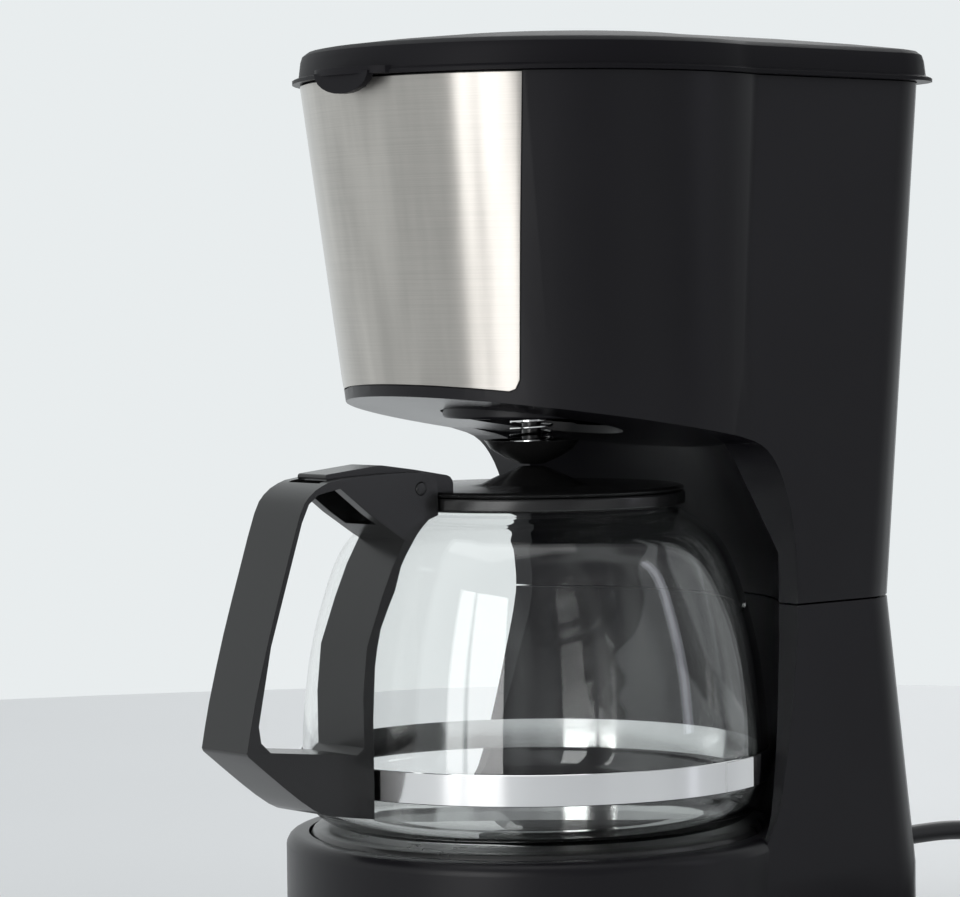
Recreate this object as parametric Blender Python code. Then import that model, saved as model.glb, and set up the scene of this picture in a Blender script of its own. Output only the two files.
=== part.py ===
"""Drip coffee maker with a glass jug: a base with a warming plate, a rear column that holds the water
tank, an upper housing over the jug with a steel front, a hinged lid and a lift-out filter basket.

Frame: +Z up, front towards -Y, origin on the counter under the middle of the jug's axis. Metres.
Run with: blender --background --python part.py
"""
import math

import bmesh
import bpy
from mathutils import Vector

MM = 0.001

# ---- driving dimensions -------------------------------------------------------------------
GAP = 0.3 * MM                  # between pieces that touch
WALL = 2.5 * MM                 # moulded housing wall
FOOT_HEIGHT = 4.0 * MM
BASE_TOP = 45.0 * MM            # top of the drum that carries the warming plate
SHOULDER = 4.0 * MM             # rounding of the drum's top edge
SEAM_Z = 114.4 * MM             # where the upper housing meets the base's column
HOUSING_TOP = 275.3 * MM
LID_EDGE_Z = HOUSING_TOP + 10.3 * MM
LID_DOME = 5.6 * MM             # rise of the lid's middle over its edge

DRUM_RADIUS = 77.6 * MM         # base drum
BAY_RADIUS = 76.0 * MM          # hollow back wall round the jug, drawn in from the bend upwards
BAY_BEND_Z = 130.0 * MM
BAY_ROOF_RADIUS = 60.0 * MM
BACK_BASE = 108.6 * MM          # rear face at the base, seam and top
BACK_SEAM = 104.0 * MM
BACK_TOP = 115.0 * MM
HALF_BASE = 72.0 * MM           # half width of the rear column at the same three heights
HALF_SEAM = 64.8 * MM
HALF_TOP = 69.0 * MM
COLUMN_CORNER = 22.0 * MM
HEAD_TOP_RADIUS = 74.0 * MM     # round front of the upper housing: radius and middle, top and bottom
HEAD_TOP_MIDDLE = 5.0 * MM
HEAD_LOW_RADIUS = 67.0 * MM
HEAD_LOW_MIDDLE = 13.5 * MM
HEAD_LOW_Z = 171.0 * MM
UNDERSIDE_Z = 171.1 * MM        # underside at the jug's axis
UNDERSIDE_SLOPE = -0.166        # it drops towards the back
PANEL_DROP = 3.6 * MM           # from the underside up to the steel front's lower edge

PLATE_RADIUS = DRUM_RADIUS - 7.4 * MM
PLATE_TOP = 47.0 * MM
PLATE_HOLE = PLATE_RADIUS + 0.5 * MM
PLATE_SHEET = 1.2 * MM
SPOUT_RADIUS = 27.5 * MM        # disc under the filter basket, through the housing floor
BASKET_TOP_RADIUS = 57.0 * MM
BASKET_RIM_Z = HOUSING_TOP - 7.3 * MM
TANK_BOTTOM = 177.0 * MM
TANK_WELL = 61.0 * MM           # the tank curves round the basket at this radius
TANK_HALF = 61.0 * MM
TANK_BACK = 103.0 * MM
RISER_X = 18.0 * MM
RISER_Y = 90.0 * MM
RISER_RADIUS = 4.0 * MM
HOSE_BORE = 2.6 * MM            # radius, as for the tank's spigot
BOILER_END = (PLATE_RADIUS - 4.2 * MM, 32.4 * MM)   # (y, z) of the boiler pipe's ends, under the skirt
BOILER_BEND = PLATE_RADIUS - 22.2 * MM
ROD_BEND = PLATE_RADIUS - 32.2 * MM

GLASS_WALL = 2.2 * MM
GLASS_RADIUS = 72.3 * MM
JUG_BOTTOM = PLATE_TOP + GAP
BAND_LOW = 61.0 * MM
BAND_HIGH = 70.4 * MM
COLLAR_RADIUS = 47.4 * MM
COLLAR_LOW = 145.2 * MM
COLLAR_HIGH = 149.4 * MM
JUG_PIVOT_Y = -54.4 * MM
JUG_PIVOT_Z = 152.8 * MM
HANDLE_HALF = 10.8 * MM
LEVER_SLOT_HALF = 7.2 * MM      # slot in the handle's top for the lid's lever
BAND_SCREW_Z = 0.5 * (BAND_LOW + BAND_HIGH)

LID_PIVOT_Y = BACK_TOP + 2.9 * MM
LID_PIVOT_Z = HOUSING_TOP + 2.3 * MM
PIN_RADIUS = 1.5 * MM
PIN_BORE = PIN_RADIUS + 0.1 * MM
JUG_PIN_RADIUS = 2.0 * MM
JUG_PIN_BORE = JUG_PIN_RADIUS + 0.1 * MM
SWITCH_Y = 58.0 * MM
SWITCH_Z = 24.0 * MM
SWITCH_HALF_Y = 9.6 * MM
SWITCH_HALF_Z = 6.6 * MM

CORD_RADIUS = 3.2 * MM
CORD_X = 22.0 * MM
CORD_Z = 29.0 * MM
RELIEF_LENGTH = 35.0 * MM
COIL_MIDDLE = (84.0 * MM, 206.0 * MM)
COIL_RADII = (34.4 * MM, 41.0 * MM)   # two turns side by side, the outer one with a third on top


# ---- materials ----------------------------------------------------------------------------
def material(name, colour, roughness, metallic=0.0, transmission=0.0):
    """A plain Principled material, one for each finish."""
    made = bpy.data.materials.get(name)
    if made:
        return made
    made = bpy.data.materials.new(name)
    made.use_nodes = True
    made.diffuse_color = (*colour, 1.0)
    shader = made.node_tree.nodes["Principled BSDF"]
    shader.inputs["Base Color"].default_value = (*colour, 1.0)
    shader.inputs["Roughness"].default_value = roughness
    shader.inputs["Metallic"].default_value = metallic
    shader.inputs["Transmission Weight"].default_value = transmission
    return made


def satin_plastic():
    return material("satin_plastic", (0.020, 0.019, 0.022), 0.42)


def gloss_plastic():
    return material("gloss_plastic", (0.012, 0.011, 0.012), 0.12)


def inner_plastic():
    return material("inner_plastic", (0.10, 0.10, 0.10), 0.5)


def rubber():
    return material("rubber", (0.02, 0.02, 0.02), 0.8)


def coated_steel():
    return material("coated_steel", (0.02, 0.02, 0.02), 0.35)


def steel():
    return material("brushed_steel", (0.58, 0.56, 0.52), 0.3, 1.0)


def chrome():
    return material("polished_steel", (0.85, 0.85, 0.85), 0.06, 1.0)


def aluminium():
    return material("aluminium", (0.7, 0.7, 0.72), 0.35, 1.0)


def glass():
    return material("glass", (0.95, 0.97, 0.97), 0.02, 0.0, 1.0)


# ---- mesh helpers -------------------------------------------------------------------------
def add_node(name, mesh_data, finish, angle=35.0):
    """Put a bmesh in the scene as one named object, smooth except at sharp corners."""
    bmesh.ops.recalc_face_normals(mesh_data, faces=mesh_data.faces)
    mesh = bpy.data.meshes.new(name)
    mesh_data.to_mesh(mesh)
    mesh_data.free()
    mesh.materials.append(finish)
    mesh.shade_smooth()
    mesh.set_sharp_from_angle(angle=math.radians(angle))
    node = bpy.data.objects.new(name, mesh)
    bpy.context.scene.collection.objects.link(node)
    return node


def boolean(node, tools, operation):
    """Cut the tools from the node, or join them to it, and remove them."""
    for tool in tools:
        step = node.modifiers.new(tool.name, "BOOLEAN")
        step.operation = operation
        step.object = tool
        step.solver = "EXACT"
    bpy.context.view_layer.update()
    graph = bpy.context.evaluated_depsgraph_get()
    result = bpy.data.meshes.new_from_object(node.evaluated_get(graph))
    node.modifiers.clear()
    node.data = result
    for tool in tools:
        bpy.data.objects.remove(tool)
    result.shade_smooth()
    result.set_sharp_from_angle(angle=math.radians(35.0))
    return node


def cut(node, *tools):
    return boolean(node, tools, "DIFFERENCE")


def join(node, *tools):
    return boolean(node, tools, "UNION")


def loft(name, rings, finish, closed=False, angle=35.0):
    """Skin a list of rings that have equal numbers of points. The ends are capped, or meet if closed."""
    mesh = bmesh.new()
    loops = [[mesh.verts.new(point) for point in ring] for ring in rings]
    count = len(loops[0])
    pairs = list(zip(loops, loops[1:]))
    if closed:
        pairs.append((loops[-1], loops[0]))
    for low, high in pairs:
        for i in range(count):
            j = (i + 1) % count
            mesh.faces.new((low[i], low[j], high[j], high[i]))
    if not closed:
        mesh.faces.new(reversed(loops[0]))
        mesh.faces.new(loops[-1])
    return add_node(name, mesh, finish, angle)


def circle(radius, z, segments=48, middle=(0.0, 0.0)):
    """Points round a level circle."""
    turns = [2.0 * math.pi * i / segments for i in range(segments)]
    return [
        Vector((middle[0] + radius * math.sin(t), middle[1] - radius * math.cos(t), z)) for t in turns
    ]


def lathe(name, profile, finish, segments=48, middle=(0.0, 0.0)):
    """Turn a closed (radius, height) outline about the vertical line through middle. Points with
    radius 0 become poles."""
    mesh = bmesh.new()
    rings = []
    for radius, z in profile:
        if radius == 0.0:
            rings.append([mesh.verts.new((middle[0], middle[1], z))])
        else:
            rings.append([mesh.verts.new(p) for p in circle(radius, z, segments, middle)])
    for a, b in zip(rings, rings[1:] + rings[:1]):
        if len(a) == len(b) == 1:
            continue
        for i in range(segments):
            j = (i + 1) % segments
            if len(a) == 1:
                mesh.faces.new((a[0], b[j], b[i]))
            elif len(b) == 1:
                mesh.faces.new((a[i], a[j], b[0]))
            else:
                mesh.faces.new((a[i], a[j], b[j], b[i]))
    return add_node(name, mesh, finish)


def arc(middle, radius, start, end, steps):
    """Points of an arc in a plane, angles in degrees."""
    return [
        (
            middle[0] + radius * math.cos(math.radians(start + (end - start) * i / steps)),
            middle[1] + radius * math.sin(math.radians(start + (end - start) * i / steps)),
        )
        for i in range(steps + 1)
    ]


def smooth(points, steps):
    """A Catmull-Rom curve through the points, steps per span."""
    points = [Vector(p) for p in points]
    padded = [2 * points[0] - points[1], *points, 2 * points[-1] - points[-2]]
    curve = []
    for p0, p1, p2, p3 in zip(padded, padded[1:], padded[2:], padded[3:]):
        for i in range(steps):
            t = i / steps
            curve.append(
                0.5 * (
                    2 * p1 + (p2 - p0) * t + (2 * p0 - 5 * p1 + 4 * p2 - p3) * t * t
                    + (3 * p1 - p0 - 3 * p2 + p3) * t ** 3
                )
            )
    curve.append(points[-1])
    return curve


def rounded(corners, steps=4):
    """A closed outline from (a, b, radius) corners, each corner an arc."""
    outline = []
    count = len(corners)
    for i, (a, b, radius) in enumerate(corners):
        here = Vector((a, b))
        back = (Vector(corners[i - 1][:2]) - here).normalized()
        ahead = (Vector(corners[(i + 1) % count][:2]) - here).normalized()
        if radius == 0.0:
            outline.append(here)
            continue
        half = 0.5 * back.angle(ahead)
        reach = radius / math.tan(half)
        start, end = here + back * reach, here + ahead * reach
        middle = here + (back + ahead).normalized() * radius / math.sin(half)
        first, last = start - middle, end - middle
        swing = first.angle(last)
        for k in range(steps + 1):
            t = k / steps
            blend = (math.sin((1 - t) * swing) * first + math.sin(t * swing) * last) / math.sin(swing)
            outline.append(middle + blend)
    return outline


def prism(name, outline, axis, low, high, finish):
    """A flat outline pulled along X, Y or Z. The outline holds the other two coordinates in order."""
    place = {
        "x": lambda a, b, c: (c, a, b),
        "y": lambda a, b, c: (a, c, b),
        "z": lambda a, b, c: (a, b, c),
    }[axis]
    return loft(name, [[place(a, b, c) for a, b in outline] for c in (low, high)], finish)


def box(name, low, high, finish):
    """A plain block between two corners."""
    outline = [(low[0], low[1]), (high[0], low[1]), (high[0], high[1]), (low[0], high[1])]
    return prism(name, outline, "z", low[2], high[2], finish)


def tube(name, path, radius, finish, bore=0.0, sides=12):
    """A round bar or a pipe along a path, its section carried along without twist."""
    path = [Vector(p) for p in path]
    tangents = [
        (path[min(i + 1, len(path) - 1)] - path[max(i - 1, 0)]).normalized() for i in range(len(path))
    ]
    side = tangents[0].orthogonal().normalized()
    frames = []
    for tangent in tangents:
        side = (side - tangent * side.dot(tangent)).normalized()
        frames.append((side, tangent.cross(side)))

    def ring(i, size):
        across, up = frames[i]
        turns = [2.0 * math.pi * k / sides for k in range(sides)]
        return [path[i] + size * (math.cos(t) * across + math.sin(t) * up) for t in turns]

    order = range(len(path))
    if bore == 0.0:
        return loft(name, [ring(i, radius) for i in order], finish)
    rings = [ring(i, radius) for i in order] + [ring(i, bore) for i in reversed(order)]
    return loft(name, rings, finish, closed=True)


def level(low, high, z, low_z, high_z):
    """A value that runs straight from low at low_z to high at high_z."""
    return low + (high - low) * (z - low_z) / (high_z - low_z)


# ---- shapes shared by the housings --------------------------------------------------------
def block_ring(half, back, corner, z, front=8.0 * MM, steps=6):
    """Plan of the rear column: straight front inside the round part, rounded rear corners."""
    corners = [
        (-half, front, 0.0), (half, front, 0.0), (half, back, corner), (-half, back, corner),
    ]
    return [Vector((x, y, z)) for x, y in rounded(corners, steps)]


def column_size(z):
    """Half width and rear face of the column at a height."""
    if z < SEAM_Z:
        low = 30.0 * MM
        share = min(1.0, max(0.0, (z - low) / (SEAM_Z - low)))
        return (
            HALF_BASE + (HALF_SEAM - HALF_BASE) * share,
            BACK_BASE + (BACK_SEAM - BACK_BASE) * share,
        )
    return (
        level(HALF_SEAM, HALF_TOP, z, SEAM_Z, HOUSING_TOP),
        level(BACK_SEAM, BACK_TOP, z, SEAM_Z, HOUSING_TOP),
    )


def column(name, heights, inset, finish):
    """The column as a solid, drawn in by inset."""
    rings = []
    for z in heights:
        half, back = column_size(z)
        rings.append(block_ring(half - inset, back - inset, COLUMN_CORNER - inset, z))
    return loft(name, rings, finish)


def head_size(z):
    """Radius and middle of the upper housing's round front at a height."""
    return (
        level(HEAD_LOW_RADIUS, HEAD_TOP_RADIUS, z, HEAD_LOW_Z, HOUSING_TOP),
        level(HEAD_LOW_MIDDLE, HEAD_TOP_MIDDLE, z, HEAD_LOW_Z, HOUSING_TOP),
    )


def head(name, heights, inset, finish):
    """The upper housing's round front as a solid, drawn in by inset."""
    rings = []
    for z in heights:
        radius, middle = head_size(z)
        rings.append(circle(radius - inset, z, 64, (0.0, middle)))
    return loft(name, rings, finish)


def underside(y):
    """Height of the upper housing's underside, a plane that drops to the back."""
    return UNDERSIDE_Z + UNDERSIDE_SLOPE * y


def bay_edge():
    """Side view of the opening's rear edge, from the drum's top round to the underside (y, z)."""
    points = [
        (29.0, 41.0), (31.5, 45.6), (36.4, 53.0), (42.0, 71.0), (46.8, 92.0), (50.4, 112.0),
        (49.4, 132.0), (45.6, 148.0), (40.6, 158.0), (34.0, 164.0), (24.0, 167.1),
    ]
    return smooth([(y * MM, z * MM) for y, z in points], 3)


def bay_tools(spread):
    """Two solids that together fill the opening for the jug, grown by spread on every side."""
    edge = [(y + spread, z) for y, z in bay_edge()]
    floor = BASE_TOP - SHOULDER - spread
    edge[0] = (edge[0][0], floor)
    front = -150.0 * MM
    roof = [(24.0 * MM + spread, underside(24.0 * MM) + spread), (front, underside(front) + spread)]
    side = [(front, floor), *edge[:-1], *roof]
    through = prism("bay_side", side, "x", -120.0 * MM, 120.0 * MM, satin_plastic())
    radius = BAY_RADIUS + spread
    low = circle(radius, BASE_TOP - spread, 64)
    bend = circle(radius, BAY_BEND_Z, 64)
    high = [
        Vector((p.x, p.y, underside(p.y) + spread))
        for p in circle(BAY_ROOF_RADIUS + spread, UNDERSIDE_Z, 64)
    ]
    return through, loft("bay_round", [low, bend, high], satin_plastic())


# ---- base ---------------------------------------------------------------------------------
def drum(name, inset, low, high, finish):
    """The base's round part, with a rounded shoulder on the outer one."""
    radius = DRUM_RADIUS - inset
    if inset:
        return loft(name, [circle(radius, low, 64), circle(radius, high, 64)], finish)
    profile = [(0.0, low), (radius - 1.0 * MM, low), (radius, low + 1.2 * MM)]
    profile += [
        (r, z) for r, z in arc((radius - SHOULDER, high - SHOULDER), SHOULDER, 0.0, 90.0, 5)
    ]
    profile.append((0.0, high))
    return lathe(name, profile, finish, 64)


def boss_places():
    """Where the four bottom screws go."""
    reach = DRUM_RADIUS - WALL - 4.0 * MM
    front = math.radians(40.0)
    rear = (HALF_BASE - WALL - 3.6 * MM, 78.0 * MM)
    return [
        (side * x, y)
        for x, y in ((reach * math.sin(front), -reach * math.cos(front)), rear)
        for side in (-1.0, 1.0)
    ]


def base_housing():
    """Drum and lower column in one moulding, open underneath and at the seam."""
    finish = satin_plastic()
    low = FOOT_HEIGHT
    shell = column("base_housing", [low, 30.0 * MM, SEAM_Z - GAP], 0.0, finish)
    cut(shell, *bay_tools(0.0))
    join(shell, drum("drum", 0.0, low, BASE_TOP, finish))
    below = low - 5.0 * MM
    hollow = column("hollow", [below, 30.0 * MM, SEAM_Z + 5.0 * MM], WALL, finish)
    cut(hollow, *bay_tools(WALL))
    join(hollow, drum("hollow_drum", WALL, below, BASE_TOP - WALL, finish))
    cut(shell, hollow)
    cut(shell, loft("plate_hole", [circle(PLATE_HOLE, z, 64) for z in (30.0 * MM, 60.0 * MM)], finish))
    for place in boss_places():
        post = [circle(4.2 * MM, z, 12, place) for z in (7.0 * MM, 20.0 * MM)]
        bore = [circle(1.5 * MM, z, 12, place) for z in (6.0 * MM, 17.0 * MM)]
        join(shell, loft("boss", post, finish))
        cut(shell, loft("boss_bore", bore, finish))
    side = -HALF_BASE
    opening = (SWITCH_HALF_Y + GAP, SWITCH_HALF_Z + GAP)
    cut(shell, box(
        "switch_hole",
        (side - 5.0 * MM, SWITCH_Y - opening[0], SWITCH_Z - opening[1]),
        (side + 8.0 * MM, SWITCH_Y + opening[0], SWITCH_Z + opening[1]), finish,
    ))
    hole = tube("cord_hole", [(CORD_X, y, CORD_Z) for y in (95.0 * MM, 115.0 * MM)], 5.6 * MM, finish)
    return cut(shell, hole)


def bottom_cover():
    """Plate that closes the base, inside its lower rim, with vents and screw holes."""
    finish = satin_plastic()
    low, high = FOOT_HEIGHT + GAP, FOOT_HEIGHT + 2.4 * MM
    inset = WALL + 0.4 * MM
    cover = loft("bottom_cover", [circle(DRUM_RADIUS - inset, z, 64) for z in (low, high)], finish)
    join(cover, column("cover_back", [low, high], inset, finish))
    slots = [
        box("vent", (x - 1.5 * MM, -22.0 * MM, 0.0), (x + 1.5 * MM, 22.0 * MM, 20.0 * MM), finish)
        for x in (-24.0 * MM, -12.0 * MM, 0.0, 12.0 * MM, 24.0 * MM)
    ]
    holes = [
        loft("screw_hole", [circle(1.9 * MM, z, 12, place) for z in (0.0, 20.0 * MM)], finish)
        for place in boss_places()
    ]
    return cut(cover, *slots, *holes)


def feet_and_screws():
    """Four rubber feet under the cover, and the four screws that hold it."""
    front = (DRUM_RADIUS - 33.6 * MM, 35.6 * MM - DRUM_RADIUS)
    rear = (HALF_BASE - 20.0 * MM, BACK_BASE - 24.6 * MM)
    for name, side, (x, y) in (
        ("foot_front_left", -1.0, front), ("foot_front_right", 1.0, front),
        ("foot_rear_left", -1.0, rear), ("foot_rear_right", 1.0, rear),
    ):
        profile = [
            (0.0, 0.0), (7.0 * MM, 0.0), (8.0 * MM, 1.0 * MM), (8.0 * MM, FOOT_HEIGHT), (0.0, FOOT_HEIGHT),
        ]
        lathe(name, profile, rubber(), 20, (side * x, y))
    names = ("screw_front_left", "screw_front_right", "screw_rear_left", "screw_rear_right")
    seat = FOOT_HEIGHT
    for name, place in zip(names, boss_places()):
        profile = [
            (0.0, seat - 1.6 * MM), (2.6 * MM, seat - 1.6 * MM), (3.2 * MM, seat - 0.8 * MM),
            (3.2 * MM, seat), (1.2 * MM, seat), (1.2 * MM, 15.0 * MM), (0.0, 16.0 * MM),
        ]
        lathe(name, profile, aluminium(), 12, place)


# ---- heating ------------------------------------------------------------------------------
def horseshoe(radius, z, open_half, tail, steps=14):
    """A bend round the front whose two ends run back through the tail's (y, z) points."""
    start = math.degrees(math.asin(open_half / radius))
    bend = arc((0.0, 0.0), radius, 90.0 + start, 450.0 - start, steps)
    path = [(x, y, z) for x, y in bend]
    first = [(path[0][0], *place) for place in reversed(tail)]
    last = [(path[-1][0], *place) for place in tail]
    return first + path + last


def heating():
    """Warming plate, its rod and boiler pipe, the strap that clamps them and the safety parts."""
    top, radius = PLATE_TOP, PLATE_RADIUS
    sheet = PLATE_SHEET
    profile = [
        (0.0, top - sheet), (radius - 4.6 * MM, top - sheet), (radius - 1.3 * MM, top - 3.4 * MM),
        (radius - 1.3 * MM, 38.6 * MM), (radius + 2.6 * MM, 38.6 * MM), (radius + 2.6 * MM, 40.0 * MM),
        (radius, 40.0 * MM), (radius, top - 3.0 * MM), (radius - 1.2 * MM, top - 1.0 * MM),
        (radius - 3.6 * MM, top), (0.0, top),
    ]
    lathe("warming_plate", profile, coated_steel(), 48)
    under = top - sheet - GAP
    rod, pipe = 3.3 * MM, 4.2 * MM
    tail = [(ROD_BEND + 16.0 * MM, under - rod)]
    tube("heating_rod", horseshoe(ROD_BEND, under - rod, 9.0 * MM, tail), rod, aluminium(), sides=10)
    end_y, end_z = BOILER_END
    tail = [
        (end_y - 18.0 * MM, under - pipe - sheet), (end_y - 6.0 * MM, end_z + 2.0 * MM), (end_y, end_z),
    ]
    bend = horseshoe(BOILER_BEND, under - pipe, RISER_X, tail)
    tube("boiler_pipe", bend, pipe, aluminium(), bore=3.0 * MM, sides=10)
    strap_top = under - 2.0 * pipe - GAP
    low, reach = strap_top - sheet, BOILER_BEND + 10.0 * MM
    strap = box(
        "heater_strap", (-reach, -7.0 * MM, low), (reach, 7.0 * MM, strap_top), steel(),
    )
    join(strap, lathe(
        "strap_stud",
        [(0.0, strap_top - 0.6 * MM), (3.0 * MM, strap_top - 0.6 * MM), (3.0 * MM, under), (0.0, under)],
        steel(), 12,
    ))
    low -= GAP
    lathe(
        "thermostat",
        [(0.0, low - 6.0 * MM), (7.6 * MM, low - 6.0 * MM), (7.6 * MM, low - 2.0 * MM),
         (9.0 * MM, low - 2.0 * MM), (9.0 * MM, low), (0.0, low)],
        aluminium(), 20, (22.0 * MM, 0.0),
    )
    fuse = [(x, 0.0, low - 2.6 * MM) for x in (-34.0 * MM, -14.0 * MM)]
    tube("thermal_fuse", fuse, 2.6 * MM, inner_plastic(), sides=12)


# ---- water path ---------------------------------------------------------------------------
def water_path():
    """Tank, inlet hose with its one-way valve, and the riser that carries hot water up."""
    finish = inner_plastic()
    rim = BASKET_RIM_Z - 2.0 * MM
    wall = 2.0 * MM
    front = 26.0 * MM
    corner = 16.0 * MM

    def plan(inset, z):
        return block_ring(TANK_HALF - inset, TANK_BACK - inset, corner - inset, z, front + inset, 4)

    tank = loft("water_tank", [plan(0.0, TANK_BOTTOM), plan(0.0, rim)], finish)
    cut(tank, loft("well", [circle(TANK_WELL, z, 48) for z in (TANK_BOTTOM - wall, rim + wall)], finish))
    inside = loft("inside", [plan(wall, TANK_BOTTOM + wall), plan(wall, rim + wall)], finish)
    well = [circle(TANK_WELL + wall, z, 48) for z in (TANK_BOTTOM, rim + 2.0 * wall)]
    cut(tank, cut(inside, loft("inner_well", well, finish)))
    pipe = [circle(RISER_RADIUS + 2.0 * MM, z, 16, (RISER_X, RISER_Y)) for z in (TANK_BOTTOM, rim)]
    join(tank, loft("standpipe", pipe, finish))
    ends = (TANK_BOTTOM - wall, rim + wall)
    bore = [circle(RISER_RADIUS + 0.4 * MM, z, 16, (RISER_X, RISER_Y)) for z in ends]
    cut(tank, loft("standpipe_bore", bore, finish))
    spigot_low = TANK_BOTTOM - 10.0 * MM
    outlet = (-RISER_X, RISER_Y)
    spigot = [circle(RISER_RADIUS, z, 16, outlet) for z in (spigot_low, TANK_BOTTOM + 1.0 * MM)]
    join(tank, loft("spigot", spigot, finish))
    ends = (spigot_low - 2.0 * MM, TANK_BOTTOM + 5.0 * MM)
    cut(tank, loft("spigot_bore", [circle(HOSE_BORE, z, 16, outlet) for z in ends], finish))

    def hose_path(x, top):
        y, z = BOILER_END[0] + 1.4 * MM, BOILER_END[1]
        return [
            (x, y, z), (x, y + 6.0 * MM, z - 0.6 * MM), (x, y + 14.0 * MM, z + 2.0 * MM),
            (x, RISER_Y - 2.0 * MM, z + 10.0 * MM), (x, RISER_Y, z + 20.0 * MM), (x, RISER_Y, top),
        ]

    valve_low, valve_high = 92.0 * MM, 108.0 * MM
    hose = {"finish": rubber(), "bore": HOSE_BORE, "sides": 10}
    tube("inlet_hose", hose_path(-RISER_X, valve_low - GAP), RISER_RADIUS, **hose)
    lathe(
        "check_valve",
        [(2.4 * MM, valve_low), (4.0 * MM, valve_low), (6.4 * MM, valve_low + 4.0 * MM),
         (6.4 * MM, valve_high - 4.0 * MM), (4.0 * MM, valve_high), (2.4 * MM, valve_high)],
        finish, 16, (-RISER_X, RISER_Y),
    )
    upper = [(-RISER_X, RISER_Y, z) for z in (valve_high + GAP, spigot_low - GAP)]
    tube("tank_hose", upper, RISER_RADIUS, **hose)
    tube("riser_tube", hose_path(RISER_X, HOUSING_TOP + GAP), RISER_RADIUS, **hose)


# ---- switch -------------------------------------------------------------------------------
def switch():
    """Rocker switch in the base's left side: a body with its bezel, a rocker and its lens."""
    face = -column_size(SWITCH_Z)[0]
    half_y, half_z = SWITCH_HALF_Y, SWITCH_HALF_Z
    case = box(
        "switch_body", (face - 0.4 * MM, SWITCH_Y - half_y, SWITCH_Z - half_z),
        (face + 14.0 * MM, SWITCH_Y + half_y, SWITCH_Z + half_z), satin_plastic(),
    )
    bezel = 1.6 * MM
    outer = face - GAP
    join(case, box(
        "bezel", (outer - 1.6 * MM, SWITCH_Y - half_y - bezel, SWITCH_Z - half_z - bezel),
        (outer, SWITCH_Y + half_y + bezel, SWITCH_Z + half_z + bezel), satin_plastic(),
    ))
    well_y, well_z = half_y - 1.2 * MM, half_z - 1.2 * MM
    cut(case, box(
        "rocker_well", (face - 9.0 * MM, SWITCH_Y - well_y, SWITCH_Z - well_z),
        (face + 9.0 * MM, SWITCH_Y + well_y, SWITCH_Z + well_z), satin_plastic(),
    ))
    pivot = (face + 4.0 * MM, SWITCH_Z)
    high = well_z - 0.9 * MM
    side = [
        (pivot[0] - 7.2 * MM, pivot[1] + high), (pivot[0] - 5.6 * MM, pivot[1]),
        (pivot[0] - 7.2 * MM, pivot[1] - high), (pivot[0], pivot[1] - 3.0 * MM),
        (pivot[0] + 1.5 * MM, pivot[1] - 1.5 * MM), (pivot[0] + 1.5 * MM, pivot[1] + 1.5 * MM),
        (pivot[0], pivot[1] + 3.0 * MM),
    ]
    width = well_y - 0.4 * MM
    rocker = prism("switch_rocker", side, "y", SWITCH_Y - width, SWITCH_Y + width, gloss_plastic())
    lens_z = pivot[1] + 0.55 * high
    lens_x = pivot[0] - 6.3 * MM
    cut(rocker, box(
        "lens_seat", (lens_x - 3.0 * MM, SWITCH_Y - 5.3 * MM, lens_z - 1.0 * MM),
        (lens_x + 1.3 * MM, SWITCH_Y + 5.3 * MM, lens_z + 1.0 * MM), gloss_plastic(),
    ))
    box(
        "switch_lens", (lens_x - 0.4 * MM, SWITCH_Y - 5.0 * MM, lens_z - 0.7 * MM),
        (lens_x + 1.0 * MM, SWITCH_Y + 5.0 * MM, lens_z + 0.7 * MM),
        material("red_lens", (0.6, 0.05, 0.03), 0.2),
    )


# ---- upper housing ------------------------------------------------------------------------
def panel_half_angle(z):
    """Half of the steel front's sweep at a height, about the round front's own middle."""
    return math.radians(level(37.4, 43.9, z, 185.0 * MM, HOUSING_TOP))


def panel_solid(name, inner, outer, top, drop, grow, finish):
    """A curved plate over the round front between two offsets from its surface. Its lower edge
    follows the sloping underside, and its lower corners are rounded."""
    across, rows, corner = 28, 2, 3.6 * MM
    grids = []
    for offset in (outer, inner):
        grid = []
        for i in range(across + 1):
            share = -1.0 + 2.0 * i / across
            share = math.copysign(1.0 - (1.0 - abs(share)) ** 1.35, share)
            line = []
            low_z = 185.0 * MM
            for _ in range(3):
                radius, middle = head_size(low_z)
                half = panel_half_angle(low_z) + grow / radius
                y = middle - radius * math.cos(share * half)
                edge = (1.0 - abs(share)) * half * radius
                rise = corner - math.sqrt(max(0.0, corner ** 2 - max(0.0, corner - edge) ** 2))
                low_z = underside(y) + drop - grow + rise
            for k in range(rows + 1):
                z = low_z + (top - low_z) * k / rows
                radius, middle = head_size(z)
                turn = share * (panel_half_angle(z) + grow / radius)
                reach = radius + offset
                line.append(Vector((reach * math.sin(turn), middle - reach * math.cos(turn), z)))
            grid.append(line)
        grids.append(grid)
    mesh = bmesh.new()
    verts = [[[mesh.verts.new(p) for p in line] for line in grid] for grid in grids]
    for grid, flip in zip(verts, (False, True)):
        for i in range(across):
            for k in range(rows):
                face = [grid[i][k], grid[i + 1][k], grid[i + 1][k + 1], grid[i][k + 1]]
                mesh.faces.new(face[::-1] if flip else face)
    out, back = verts
    rim = [out[i][0] for i in range(across)] + [out[-1][k] for k in range(rows)]
    rim += [out[i][-1] for i in range(across, 0, -1)] + [out[0][k] for k in range(rows, 0, -1)]
    mirror = [back[i][0] for i in range(across)] + [back[-1][k] for k in range(rows)]
    mirror += [back[i][-1] for i in range(across, 0, -1)] + [back[0][k] for k in range(rows, 0, -1)]
    for i in range(len(rim)):
        j = (i + 1) % len(rim)
        mesh.faces.new((rim[j], rim[i], mirror[i], mirror[j]))
    return add_node(name, mesh, finish)


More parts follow.
